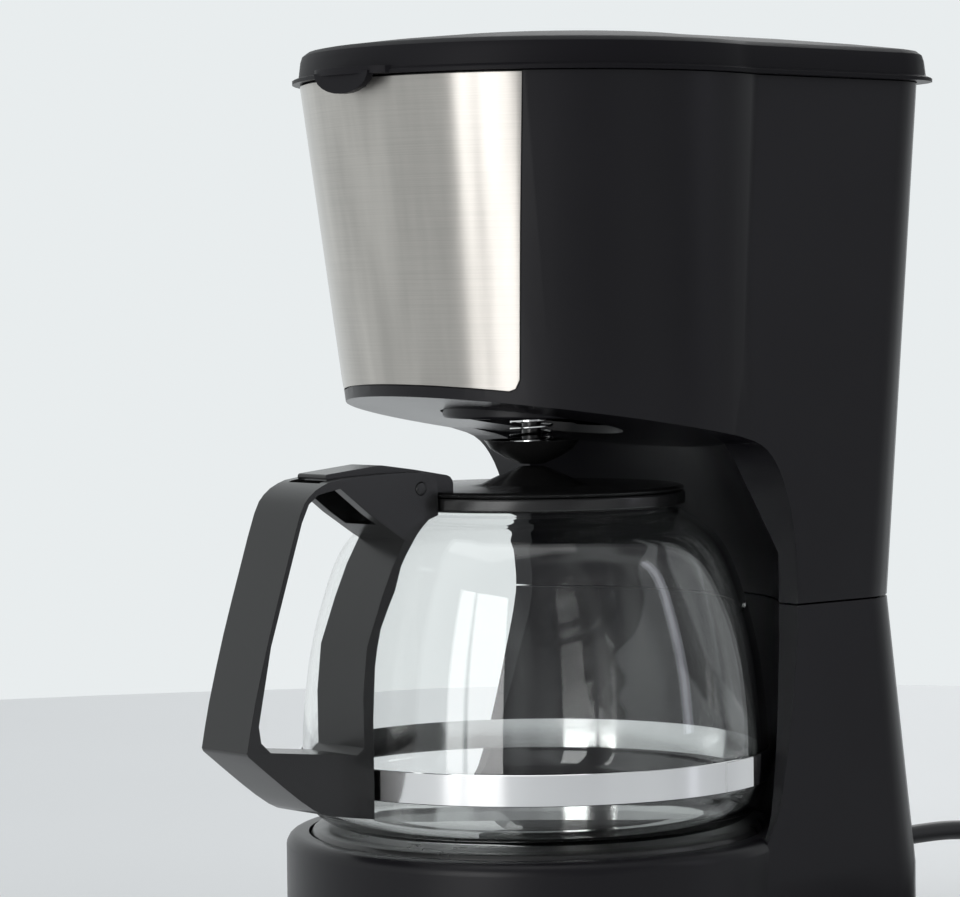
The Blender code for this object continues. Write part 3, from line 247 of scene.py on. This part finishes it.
def brushed_steel(colour):
    """Steel brushed round the front: fine level lines that spread reflections upwards, over broad upright
    streaks in the colour that are partly the rolled sheet's own marks and partly painted reflections of
    light bands."""
    finish = Finish(
        "brushed_steel_front", colour, 0.24, 1.0, Anisotropic=0.95, Anisotropic_Rotation=0.25,
    )
    lines = finish.noise(900.0, (0.02, 0.02, 4.0), 3.0)
    # broad upright streaks: partly the sheet's rolling marks, partly painted reflections of the room's
    # light and dark bands
    painted_reflection_streak = finish.noise(75.0, (1.0, 1.0, 0.05), 3.0)
    finish.put("Roughness", 0.27 + lines * 0.10)
    # the colour is darkened and lightened by the real brushing lines and by the streaks of painted
    # reflection
    finish.tint(lines * 0.3 + painted_reflection_streak * 0.7, colour, 0.42, 1.36)
    finish.bump(lines * 0.6 + painted_reflection_streak * 0.4, 0.014 * MM, 0.3)
    return finish.material


def polished_steel():
    """Mirror-bright strip and blades with faint smears."""
    finish = Finish("polished_steel", (0.80, 0.79, 0.77), 0.05, 1.0)
    smear = finish.noise(60.0, detail=2.0)
    finish.put("Roughness", 0.03 + smear * 0.06)
    finish.bump(smear, 0.03 * MM, 0.25)
    return finish.material


def plain_metal(name, colour, roughness):
    """Drawn or pressed metal with a fine upright grain."""
    finish = Finish(name, colour, roughness, 1.0)
    grain = finish.noise(700.0, (1.0, 1.0, 0.2), 2.0)
    finish.put("Roughness", (roughness - 0.06) + grain * 0.14)
    finish.bump(grain, 0.02 * MM, 0.3)
    return finish.material


def coated_plate(colour):
    """Black non-stick coating with a fine speckle, paler and duller in worn patches."""
    finish = Finish("coated_plate", colour, 0.3)
    speckle = finish.noise(1800.0, detail=2.0)
    wear = finish.noise(90.0, detail=3.0)
    finish.put("Roughness", 0.22 + wear * 0.16)
    finish.tint(speckle * wear, colour, 0.8, 3.0)
    finish.bump(speckle, 0.03 * MM, 0.3)
    return finish.material


def clear_glass():
    """Clear glass, barely smeared."""
    finish = Finish("clear_glass", (0.985, 0.995, 0.99), 0.0, Transmission_Weight=1.0, IOR=1.47)
    smear = finish.noise(30.0, detail=2.0)
    finish.put("Roughness", smear * 0.012)
    return finish.material


def inner_plastic(colour):
    """Dull grey moulding for the parts inside."""
    finish = Finish("inner_plastic", colour, 0.45)
    cloud = finish.noise(60.0, detail=2.0)
    finish.put("Roughness", 0.38 + cloud * 0.16)
    finish.tint(cloud, colour, 0.85, 1.2)
    finish.bump(cloud, 0.05 * MM, 0.3)
    return finish.material


def soft_rubber(name, colour, roughness):
    """Fine-grained rubber or soft sheath."""
    finish = Finish(name, colour, roughness)
    grain = finish.noise(1500.0, detail=2.0)
    finish.put("Roughness", (roughness - 0.05) + grain * 0.14)
    finish.tint(grain, colour, 0.8, 1.4)
    finish.bump(grain, 0.04 * MM, 0.35)
    return finish.material


def counter_top(colour):
    """Pale counter with slow, faint clouds."""
    finish = Finish("counter_top", colour, 0.45)
    finish.tint(finish.noise(3.0, detail=3.0), colour, 0.97, 1.03)
    return finish.material


def red_lens():
    """Ribbed red lens of the switch."""
    finish = Finish("red_lens", (0.55, 0.03, 0.02), 0.12, Coat_Weight=0.5)
    ribs = finish.noise(900.0, (0.1, 1.0, 0.1), 0.0)
    finish.bump(ribs, 0.05 * MM, 0.5)
    return finish.material


def finish_of(kind):
    """The material of a finish. One that is already there under that name, the frame's own plain
    ones among them, is used as it is."""
    made = bpy.data.materials.get(kind)
    if made:
        return made
    settings = bpy.context.scene.coffee_finish
    makers = {
        "moulded_plastic": lambda: moulded_plastic("moulded_plastic", settings.body, 0.25, 0.33),
        "lid_plastic": lambda: moulded_plastic("lid_plastic", settings.body, 0.12, 0.5),
        "gloss_plastic": lambda: gloss_plastic(settings.gloss),
        "brushed_steel_front": lambda: brushed_steel(settings.steel),
        "polished_steel": polished_steel,
        "bare_aluminium": lambda: plain_metal("bare_aluminium", (0.66, 0.66, 0.67), 0.34),
        "pressed_steel": lambda: plain_metal("pressed_steel", (0.5, 0.5, 0.49), 0.3),
        "coated_plate": lambda: coated_plate(settings.plate),
        "clear_glass": clear_glass,
        "counter_top": lambda: counter_top(bpy.context.scene.coffee_stage.floor),
        "inner_plastic": lambda: inner_plastic(settings.tank),
        "soft_rubber": lambda: soft_rubber("soft_rubber", (0.022, 0.022, 0.023), 0.7),
        "cord_sheath": lambda: soft_rubber("cord_sheath", settings.cord, 0.42),
        "red_lens": red_lens,
    }
    return makers[kind]()


# ---- mesh helpers -------------------------------------------------------------------------
def add_piece(name, mesh_data, kind, body, angle=40.0):
    """Put a bmesh in the scene as a smooth piece that rides on a body, if one is named."""
    bmesh.ops.recalc_face_normals(mesh_data, faces=mesh_data.faces)
    mesh = bpy.data.meshes.new(name)
    mesh_data.to_mesh(mesh)
    mesh_data.free()
    mesh.materials.append(finish_of(kind))
    mesh.shade_smooth()
    mesh.set_sharp_from_angle(angle=math.radians(angle))
    piece = bpy.data.objects.new(name, mesh)
    bpy.context.scene.collection.objects.link(piece)
    if body:
        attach(piece, body)
    return piece


def skin(name, rings, kind, body, closed=False, angle=40.0):
    """Skin rings that have equal numbers of points; the ends are capped, or meet if closed."""
    mesh = bmesh.new()
    loops = [[mesh.verts.new(point) for point in ring] for ring in rings]
    count = len(loops[0])
    pairs = list(zip(loops, loops[1:]))
    if closed:
        pairs.append((loops[-1], loops[0]))
    for low, high in pairs:
        for i in range(count):
            j = (i + 1) % count
            mesh.faces.new((low[i], low[j], high[j], high[i]))
    if not closed:
        mesh.faces.new(reversed(loops[0]))
        mesh.faces.new(loops[-1])
    return add_piece(name, mesh, kind, body, angle)


def turned(name, profile, kind, body, segments=128, middle=(0.0, 0.0), angle=40.0):
    """A closed (radius, height) outline turned about the vertical line through middle."""
    mesh = bmesh.new()
    rings = []
    for radius, z in profile:
        if radius == 0.0:
            rings.append([mesh.verts.new((middle[0], middle[1], z))])
            continue
        turns = [2.0 * math.pi * i / segments for i in range(segments)]
        rings.append([
            mesh.verts.new((middle[0] + radius * math.sin(t), middle[1] - radius * math.cos(t), z))
            for t in turns
        ])
    for a, b in zip(rings, rings[1:] + rings[:1]):
        if len(a) == len(b) == 1:
            continue
        for i in range(segments):
            j = (i + 1) % segments
            if len(a) == 1:
                mesh.faces.new((a[0], b[j], b[i]))
            elif len(b) == 1:
                mesh.faces.new((a[i], a[j], b[0]))
            else:
                mesh.faces.new((a[i], a[j], b[j], b[i]))
    return add_piece(name, mesh, kind, body, angle)


def curve_through(points, steps):
    """A Catmull-Rom curve through the points, steps per span."""
    points = [Vector(p) for p in points]
    padded = [2 * points[0] - points[1], *points, 2 * points[-1] - points[-2]]
    line = []
    for p0, p1, p2, p3 in zip(padded, padded[1:], padded[2:], padded[3:]):
        for i in range(steps):
            t = i / steps
            line.append(
                0.5 * (
                    2 * p1 + (p2 - p0) * t + (2 * p0 - 5 * p1 + 4 * p2 - p3) * t * t
                    + (3 * p1 - p0 - 3 * p2 + p3) * t ** 3
                )
            )
    line.append(points[-1])
    return line


def swept(name, path, radius, kind, body, sides=12):
    """A round bar along a path."""
    path = [Vector(p) for p in path]
    last = len(path) - 1
    side = (path[1] - path[0]).orthogonal().normalized()
    rings = []
    for i, point in enumerate(path):
        tangent = (path[min(i + 1, last)] - path[max(i - 1, 0)]).normalized()
        side = (side - tangent * side.dot(tangent)).normalized()
        up = tangent.cross(side)
        turns = [2.0 * math.pi * k / sides for k in range(sides)]
        rings.append([point + radius * (math.cos(t) * side + math.sin(t) * up) for t in turns])
    return skin(name, rings, kind, body)


# Finish of each node of the frame, the rounding of its edges in millimetres, and the angle in
# degrees from which an edge counts as sharp.
FINISHES = {
    "base_housing": ("moulded_plastic", 0.8, 35.0),
    "upper_housing": ("moulded_plastic", 0.8, 35.0),
    "bottom_cover": ("moulded_plastic", 0.2, 35.0),
    "front_panel": ("brushed_steel_front", 0.12, 35.0),
    "lid": ("lid_plastic", 0.5, 28.0),
    "lid_hinge_pin": ("bare_aluminium", 0.2, 35.0),
    "spray_head": ("inner_plastic", 0.3, 35.0),
    "filter_basket": ("moulded_plastic", 0.4, 35.0),
    "drip_stop_stem": ("gloss_plastic", 0.3, 35.0),
    "drip_stop_seal": ("soft_rubber", 0.2, 35.0),
    "jug_collar": ("gloss_plastic", 0.3, 35.0),
    "jug_lid": ("gloss_plastic", 0.4, 35.0),
    "jug_hinge_pin": ("gloss_plastic", 0.4, 35.0),
    "jug_handle": ("gloss_plastic", 0.9, 35.0),
    "band_screw": ("polished_steel", 0.2, 35.0),
    "warming_plate": ("coated_plate", 0.3, 35.0),
    "heating_rod": ("bare_aluminium", 0.0, 35.0),
    "boiler_pipe": ("bare_aluminium", 0.0, 35.0),
    "heater_strap": ("pressed_steel", 0.2, 35.0),
    "thermostat": ("bare_aluminium", 0.3, 35.0),
    "thermal_fuse": ("inner_plastic", 0.3, 35.0),
    "water_tank": ("inner_plastic", 0.3, 35.0),
    "check_valve": ("inner_plastic", 0.3, 35.0),
    "inlet_hose": ("soft_rubber", 0.0, 35.0),
    "tank_hose": ("soft_rubber", 0.0, 35.0),
    "riser_tube": ("soft_rubber", 0.0, 35.0),
    "switch_body": ("moulded_plastic", 0.3, 35.0),
    "switch_rocker": ("gloss_plastic", 0.3, 25.0),
    "switch_lens": ("red_lens", 0.15, 35.0),
    "cord_relief": ("cord_sheath", 0.5, 35.0),
    "plug_body": ("cord_sheath", 0.6, 25.0),
    "plug_blade_left": ("polished_steel", 0.3, 35.0),
    "plug_blade_right": ("polished_steel", 0.3, 35.0),
}
CORNERS = ("front_left", "front_right", "rear_left", "rear_right")
for corner in CORNERS:
    FINISHES["foot_" + corner] = ("soft_rubber", 0.4, 35.0)
    FINISHES["screw_" + corner] = ("bare_aluminium", 0.15, 35.0)
WELD_DISTANCE = 0.002 * MM
EDGE_STEPS = 2
FACE_WEIGHT = 80  # how far large faces outweigh small ones in the shading


def dress(*nodes):
    """Give frame nodes their material, smooth shading and rounded edges."""
    for node in nodes:
        kind, edge, sharp = FINISHES[node]
        edge *= MM * bpy.context.scene.coffee_sizes.edges
        piece = NODES[node]
        material = finish_of(kind)
        if not piece.data.materials:
            piece.data.materials.append(material)
        for place in range(len(piece.data.materials)):
            piece.data.materials[place] = material
        piece.data.shade_smooth()
        weld = piece.modifiers.new("Weld", "WELD")
        weld.merge_threshold = WELD_DISTANCE
        if edge:
            rounding = piece.modifiers.new("Edges", "BEVEL")
            rounding.width = edge
            rounding.segments = EDGE_STEPS
            rounding.limit_method = "ANGLE"
            rounding.angle_limit = math.radians(sharp)
            rounding.use_clamp_overlap = True
            rounding.harden_normals = True
            even = piece.modifiers.new("Normals", "WEIGHTED_NORMAL")
            even.weight = FACE_WEIGHT
        else:
            split = piece.modifiers.new("Corners", "EDGE_SPLIT")
            split.split_angle = math.radians(sharp)


# ---- stage --------------------------------------------------------------------------------
CAMERA_PITCH = math.radians(2.35)
CAMERA_YAW = math.radians(0.80)
CAMERA_ROLL = math.radians(0.69)
SENSOR = 36.0  # width in millimetres
COUNTER_RADIUS = 0.85
LIT_POINT = Vector((0.0, 0.0, 0.16))  # the middle of the machine, which the lamps face
# Lamp, azimuth and elevation in degrees, distance, width and height in metres, watts, colour.
LAMPS = (
    ("window_left", 9.0, 6.0, 1.9, (0.28, 1.7), 5.6, (1.0, 1.0, 1.0)),
    ("window_right", 24.0, 6.0, 1.9, (0.58, 1.7), 12.0, (1.0, 1.0, 1.0)),
    ("ceiling", -20.0, 80.0, 1.5, (1.2, 1.2), 3.4, (1.0, 1.0, 1.0)),
    ("side", 128.0, 18.0, 1.8, (0.16, 1.4), 1.5, (0.88, 0.90, 1.0)),
    ("back", 215.0, 25.0, 1.8, (0.9, 1.2), 4.5, (1.0, 1.0, 1.0)),
)
# Surroundings: half the width over which light turns to dark, the size and stretch of the uneven
# patches, the noise values where a patch starts and is full, and the dark that is left between.
DUSK = 0.55
PATCH_SCALE = 2.6
PATCH_STRETCH = (1.0, 1.0, 0.35)
PATCH_START, PATCH_FULL = 0.38, 0.60
PATCH_LEAST = 0.25


def add_camera(settings):
    """Camera beside the front right corner, aimed a little left of the jug's axis."""
    azimuth = settings.azimuth
    right = Vector((math.cos(azimuth), math.sin(azimuth), 0.0))
    away = Vector((-math.sin(azimuth), math.cos(azimuth), 0.0))
    up = Vector((0.0, 0.0, 1.0))
    flat = away * math.cos(CAMERA_YAW) - right * math.sin(CAMERA_YAW)
    forward = flat * math.cos(CAMERA_PITCH) - up * math.sin(CAMERA_PITCH)
    level = right * math.cos(CAMERA_YAW) + away * math.sin(CAMERA_YAW)
    head = level.cross(forward)
    across = level * math.cos(CAMERA_ROLL) - head * math.sin(CAMERA_ROLL)
    top = level * math.sin(CAMERA_ROLL) + head * math.cos(CAMERA_ROLL)
    data = bpy.data.cameras.new("camera")
    data.lens = settings.lens
    data.sensor_width = SENSOR
    camera = bpy.data.objects.new("camera", data)
    matrix = Matrix((across, top, -forward)).transposed().to_4x4()
    matrix.translation = -away * settings.distance + up * settings.height
    camera.matrix_world = matrix
    bpy.context.scene.collection.objects.link(camera)
    bpy.context.scene.camera = camera


def add_softbox(name, azimuth, elevation, distance, size, power, tint):
    """An area light aimed at the middle of the machine."""
    data = bpy.data.lights.new(name, "AREA")
    data.shape = "RECTANGLE"
    data.size, data.size_y = size
    data.energy = power
    data.color = tint
    light = bpy.data.objects.new(name, data)
    turn, lift = math.radians(azimuth), math.radians(elevation)
    ray = Vector((
        math.sin(turn) * math.cos(lift), -math.cos(turn) * math.cos(lift), math.sin(lift),
    ))
    light.location = LIT_POINT + ray * distance
    light.rotation_euler = ray.to_track_quat("Z", "Y").to_euler()
    bpy.context.scene.collection.objects.link(light)


def add_room(settings):
    """Plain surroundings, light on the left, darker and uneven on the right like a furnished room."""
    world = bpy.data.worlds.new("room")
    world.use_nodes = True
    room = Nodes(world.node_tree)
    where = room.node("ShaderNodeTexCoord")["Generated"]
    across = room.node("ShaderNodeSeparateXYZ", None, {0: where})["X"]
    side = room.node(
        "ShaderNodeMapRange", {"interpolation_type": "SMOOTHSTEP"},
        {"Value": across, "From Min": -DUSK, "From Max": DUSK},
    )["Result"]
    drawn = room.node("ShaderNodeVectorMath", {"operation": "MULTIPLY"}, {0: where, 1: PATCH_STRETCH})[0]
    noise = room.node(
        "ShaderNodeTexNoise", None, {"Vector": drawn, "Scale": PATCH_SCALE, "Detail": 1.0},
    )["Fac"]
    patches = room.node(
        "ShaderNodeMapRange", None,
        {"Value": noise, "From Min": PATCH_START, "From Max": PATCH_FULL, "To Min": PATCH_LEAST},
    )["Result"]
    background = room.tree.nodes["Background"]
    room.fill(background.inputs["Color"], room.blend(side * patches, settings.sky, settings.shadow))
    bpy.context.scene.world = world


class COFFEE_OT_stage(bpy.types.Operator):
    """Add the counter, the room's light, the lamps and the camera"""

    bl_idname = "coffee.stage"
    bl_label = "Stage"

    def execute(self, context):
        settings = context.scene.coffee_stage
        add_camera(settings)
        mesh = bmesh.new()
        bmesh.ops.create_circle(mesh, cap_ends=True, segments=96, radius=COUNTER_RADIUS)
        add_piece("counter", mesh, "counter_top", None)
        add_room(settings)
        context.scene.view_settings.view_transform = "Standard"
        for lamp in LAMPS:
            add_softbox(*lamp)
        return {"FINISHED"}


# ---- mains cord ---------------------------------------------------------------------------
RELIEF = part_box("cord_relief")
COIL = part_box("cord_coil")
COIL_STEP = 9.0  # degrees between points of the coil
CORD_STEPS = 3  # points to each span of the lead and the tail
FLOOR_GAP = 0.1 * MM
TURN_GAP = 0.2 * MM
SIDE_GAP = 0.3 * MM
LEAD_ASIDE = 1.36  # how far outside the coil the lead comes in, in cord diameters
RELIEF_OVERLAP = 2.0  # how far the cord starts inside the strain relief, in millimetres
# Points of the lead after the strain relief, and of the tail, in millimetres. The tail's first
# number is its distance from the line beside the coil's last turn.
LEAD = (
    (22.0, 155.0, 29.0), (22.0, 167.0, 28.6), (22.5, 180.0, 27.2), (24.0, 193.0, 24.0),
    (27.0, 206.0, 18.8), (32.0, 219.0, 12.8), (39.0, 231.0, 7.8), (48.0, 241.5, 4.6), (59.0, 249.5, 3.5),
)
TAIL = ((0.0, 206.0, 9.8), (0.0, 194.0, 9.6), (0.4, 182.0, 9.2), (0.4, 172.0, 9.0), (0.4, 164.0, 9.0))


def coil_turns(middle, sheath):
    """Three turns: two side by side, then one on top, from the lead's angle to the tail's."""
    outer = 0.5 * (COIL[1].x - COIL[0].x) - 0.5 * sheath
    inner = outer - sheath - TURN_GAP
    start = outer + LEAD_ASIDE * sheath
    leave = outer + sheath + SIDE_GAP
    low, high = 0.5 * sheath + FLOOR_GAP, 1.5 * sheath + TURN_GAP
    # Angle in degrees, falling as the cord runs clockwise; radius; height.
    stations = (
        (105.2, start, low), (45.0, outer, low), (-225.0, outer, low), (-315.0, inner, low),
        (-495.0, inner, low), (-585.0, inner, high), (-675.0, outer, high), (-945.0, outer, high),
        (-1035.0, leave, high), (-1080.0, leave, high),
    )
    points = []
    for (from_angle, r0, z0), (to_angle, r1, z1) in zip(stations, stations[1:]):
        count = max(2, round((from_angle - to_angle) / COIL_STEP))
        for i in range(count):
            share = i / count
            ease = share * share * (3.0 - 2.0 * share)
            turn = math.radians(from_angle + (to_angle - from_angle) * share)
            radius = r0 + (r1 - r0) * ease
            x, y = middle.x + radius * math.cos(turn), middle.y + radius * math.sin(turn)
            points.append((x, y, z0 + (z1 - z0) * ease))
    return points


def cord_route(sheath):
    """Lead, coil and tail as one line, in metres."""
    lead = [(LEAD[0][0], RELIEF[1].y / MM - RELIEF_OVERLAP, LEAD[0][2]), *LEAD]
    middle = 0.5 * (COIL[0] + COIL[1])
    beside = (middle.x + 0.5 * (COIL[1].x - COIL[0].x) + 0.5 * sheath + SIDE_GAP) / MM
    tail = [(beside + x, y, z) for x, y, z in TAIL]
    route = curve_through([[part * MM for part in point] for point in lead], CORD_STEPS)
    route += [Vector(point) for point in coil_turns(middle, sheath)]
    route += curve_through([[part * MM for part in point] for point in tail], CORD_STEPS)
    return route


class COFFEE_OT_cord(bpy.types.Operator):
    """Lay the mains cord from its strain relief to the plug"""

    bl_idname = "coffee.cord"
    bl_label = "Mains cord"

    def execute(self, context):
        sheath = context.scene.coffee_sizes.cord
        route = cord_route(sheath)
        curve = bpy.data.curves.new("mains_cord", "CURVE")
        curve.dimensions = "3D"
        curve.bevel_depth = 0.5 * sheath
        curve.bevel_resolution = 4
        curve.use_fill_caps = True
        spline = curve.splines.new("POLY")
        spline.points.add(len(route) - 1)
        for point, place in zip(spline.points, route):
            point.co = (*place, 1.0)
        spline.use_smooth = True
        curve.materials.append(finish_of("cord_sheath"))
        cord = bpy.data.objects.new("mains_cord", curve)
        context.scene.collection.objects.link(cord)
        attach(cord, "machine")
        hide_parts("cord_lead", "cord_coil", "cord_tail")
        dress("plug_blade_left", "plug_blade_right", "plug_body", "cord_relief")
        reach = sum((b - a).length for a, b in zip(route, route[1:]))
        return {"FINISHED"}


# ---- housings -----------------------------------------------------------------------------
class COFFEE_OT_housings(bpy.types.Operator):
    """Finish the two housings, the bottom cover, its screws and the feet"""

    bl_idname = "coffee.housings"
    bl_label = "Housings"

    def execute(self, context):
        dress("base_housing", "upper_housing", "bottom_cover")
        for corner in CORNERS:
            dress("foot_" + corner, "screw_" + corner)
        return {"FINISHED"}


FRONT_AXIS_Y = 9.0 * MM
BRUSHED_REACH = 0.08


class COFFEE_OT_front_panel(bpy.types.Operator):
    """Finish the steel front, brushed round the upright axis of its curve"""

    bl_idname = "coffee.front_panel"
    bl_label = "Steel front"

    def execute(self, context):
        dress("front_panel")
        low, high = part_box("front_panel")
        mesh = NODES["front_panel"].data
        mesh.use_auto_texspace = False
        mesh.texspace_location = (0.0, FRONT_AXIS_Y, 0.5 * (low.z + high.z))
        mesh.texspace_size = (BRUSHED_REACH, BRUSHED_REACH, BRUSHED_REACH)
        return {"FINISHED"}


class COFFEE_OT_lid(bpy.types.Operator):
    """Finish the lid, its pin and the spray head"""

    bl_idname = "coffee.lid"
    bl_label = "Lid"

    def execute(self, context):
        dress("lid", "lid_hinge_pin", "spray_head")
        return {"FINISHED"}


# ---- basket and drip stop -----------------------------------------------------------------
SPRING_WIRE = 0.42 * MM  # half the wire's thickness
SPRING_TURNS = 4
SPRING_STEPS = 28  # points to a turn


class COFFEE_OT_basket(bpy.types.Operator):
    """Finish the filter basket, and add the drip stop with its spring"""

    bl_idname = "coffee.basket"
    bl_label = "Filter basket"

    def execute(self, context):
        dress("filter_basket", "drip_stop_stem", "drip_stop_seal")
        low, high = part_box("drip_stop_spring")
        radius = 0.5 * (high.x - low.x) - SPRING_WIRE
        bottom, top = low.z + SPRING_WIRE, high.z - SPRING_WIRE
        count = SPRING_TURNS * SPRING_STEPS
        path = []
        for i in range(count + 1):
            turn = 2.0 * math.pi * i / SPRING_STEPS
            z = bottom + (top - bottom) * i / count
            path.append((radius * math.cos(turn), radius * math.sin(turn), z))
        spring = swept("valve_spring", path, SPRING_WIRE, "polished_steel", None, 8)
        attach(spring, "basket")
        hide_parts("drip_stop_spring")
        return {"FINISHED"}


# ---- jug ----------------------------------------------------------------------------------
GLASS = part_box("jug_glass")
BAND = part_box("jug_band")
JUG_SEGMENTS = 160
GLASS_WALL = 2.2 * MM
GLASS_STEPS = 5  # points to each span of its side
GLASS_RIM = 0.3 * MM  # how far the inside of the rim lies under the outside
GLASS_FLOOR = 3.0 * MM  # the inside of the wall starts over this height
# Lines of the glass over its foot, as radius and height in millimetres: its outside from foot to
# rim, and the lower and upper side of its floor.
GLASS_SIDE = (
    (58.0, 0.0), (64.6, 1.2), (69.4, 4.8), (71.7, 10.0), (72.3, 16.0), (72.2, 26.0), (71.4, 38.0),
    (69.6, 52.0), (66.4, 66.0), (61.4, 81.0), (56.4, 88.8), (50.6, 93.6), (46.2, 96.2), (44.6, 97.7),
    (44.6, 101.4),
)
GLASS_UNDER = ((0.0, 1.6), (40.0, 1.5), (52.0, 0.6))
GLASS_OVER = ((52.0, 3.6), (40.0, 3.9), (0.0, 4.1))
BAND_SHEET = 0.7 * MM
BAND_EDGE = 0.2 * MM
LAP_START, LAP_END, LAP_STEPS = math.radians(99.0), math.radians(111.0), 10
LAP_SHEET = 0.5 * MM
LAP_MARGIN = 0.3 * MM


def over_foot(line):
    """A glass line's points in metres, over the foot of the jug."""
    return [(r * MM, GLASS[0].z + z * MM) for r, z in line]


def glass_outline():
    """Closed outline of the glass: under the floor, up the outside, down the inside, over the floor."""
    outer = curve_through(over_foot(GLASS_SIDE), GLASS_STEPS)
    last = len(outer) - 1
    inner = []
    for i, point in enumerate(outer):
        along = (outer[min(i + 1, last)] - outer[max(i - 1, 0)]).normalized()
        inner.append(point + Vector((-along.y, along.x)) * GLASS_WALL)
    inner = [point for point in inner if point.y > GLASS[0].z + GLASS_FLOOR]
    inner[-1] = Vector((outer[-1].x - GLASS_WALL, outer[-1].y - GLASS_RIM))
    sides = [(point.x, point.y) for point in [*outer, *reversed(inner)]]
    return over_foot(GLASS_UNDER) + sides + over_foot(GLASS_OVER)


class COFFEE_OT_jug(bpy.types.Operator):
    """Blow the glass and add the steel band with its lapped end, the collar and the screw"""

    bl_idname = "coffee.jug"
    bl_label = "Jug"

    def execute(self, context):
        glass = turned("jug_shell", glass_outline(), "clear_glass", "jug", JUG_SEGMENTS, angle=60.0)
        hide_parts("jug_glass")
        self.add_band()
        dress("jug_collar", "jug_lid", "jug_hinge_pin", "band_screw", "jug_handle")
        return {"FINISHED"}

    def add_band(self):
        """Polished strip round the glass, and the end that laps over it at the right."""
        low, high = BAND[0].z, BAND[1].z
        outer = BAND[1].x
        inner = outer - BAND_SHEET
        section = [
            (inner, low), (outer - BAND_EDGE, low), (outer, low + BAND_EDGE), (outer, high - BAND_EDGE),
            (outer - BAND_EDGE, high), (inner, high),
        ]
        band = turned("steel_band", section, "polished_steel", "jug", JUG_SEGMENTS)
        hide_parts("jug_band")
        lap = [
            (outer, low + LAP_MARGIN), (outer + LAP_SHEET, low + LAP_MARGIN),
            (outer + LAP_SHEET, high - LAP_MARGIN), (outer, high - LAP_MARGIN),
        ]
        rings = []
        for i in range(LAP_STEPS + 1):
            turn = LAP_START + (LAP_END - LAP_START) * i / LAP_STEPS
            rings.append([Vector((r * math.sin(turn), -r * math.cos(turn), z)) for r, z in lap])
        end_piece = skin("band_lap", rings, "polished_steel", "jug")


# ---- heater, water path and switch --------------------------------------------------------
class COFFEE_OT_heater(bpy.types.Operator):
    """Finish the warming plate and what heats it"""

    bl_idname = "coffee.heater"
    bl_label = "Warming plate"

    def execute(self, context):
        dress("warming_plate", "heating_rod", "boiler_pipe", "heater_strap", "thermostat", "thermal_fuse")
        return {"FINISHED"}


class COFFEE_OT_water(bpy.types.Operator):
    """Finish the tank, its hoses, the valve and the riser"""

    bl_idname = "coffee.water"
    bl_label = "Water path"

    def execute(self, context):
        dress("water_tank", "check_valve", "inlet_hose", "tank_hose", "riser_tube")
        return {"FINISHED"}


class COFFEE_OT_switch(bpy.types.Operator):
    """Finish the rocker switch"""

    bl_idname = "coffee.switch"
    bl_label = "Switch"

    def execute(self, context):
        dress("switch_body", "switch_rocker", "switch_lens")
        return {"FINISHED"}


# ---- panel and registration ---------------------------------------------------------------
OPERATORS = (
    COFFEE_OT_stage, COFFEE_OT_cord, COFFEE_OT_housings, COFFEE_OT_front_panel, COFFEE_OT_lid,
    COFFEE_OT_basket, COFFEE_OT_jug, COFFEE_OT_heater, COFFEE_OT_water, COFFEE_OT_switch,
)


class COFFEE_PT_panel(bpy.types.Panel):
    """Lists the pieces and their settings"""

    bl_idname = "COFFEE_PT_panel"
    bl_label = "Coffee Maker"
    bl_space_type = "VIEW_3D"
    bl_region_type = "UI"
    bl_category = "Coffee Maker"

    def draw(self, context):
        for operator in OPERATORS:
            self.layout.operator(operator.bl_idname)
        scene = context.scene
        for settings in (scene.coffee_finish, scene.coffee_sizes, scene.coffee_stage):
            for name in settings.__annotations__:
                self.layout.prop(settings, name)


CLASSES = (FinishSettings, SizeSettings, StageSettings, *OPERATORS, COFFEE_PT_panel)


def register():
    for made in CLASSES:
        bpy.utils.register_class(made)
    bpy.types.Scene.coffee_finish = PointerProperty(type=FinishSettings)
    bpy.types.Scene.coffee_sizes = PointerProperty(type=SizeSettings)
    bpy.types.Scene.coffee_stage = PointerProperty(type=StageSettings)


def unregister():
    del bpy.types.Scene.coffee_stage
    del bpy.types.Scene.coffee_sizes
    del bpy.types.Scene.coffee_finish
    for made in reversed(CLASSES):
        bpy.utils.unregister_class(made)


def main():
    register()
    for operator in OPERATORS:
        group, name = operator.bl_idname.split(".")
        getattr(getattr(bpy.ops, group), name)()
    bpy.context.view_layer.update()


if __name__ == "__main__":
    main()
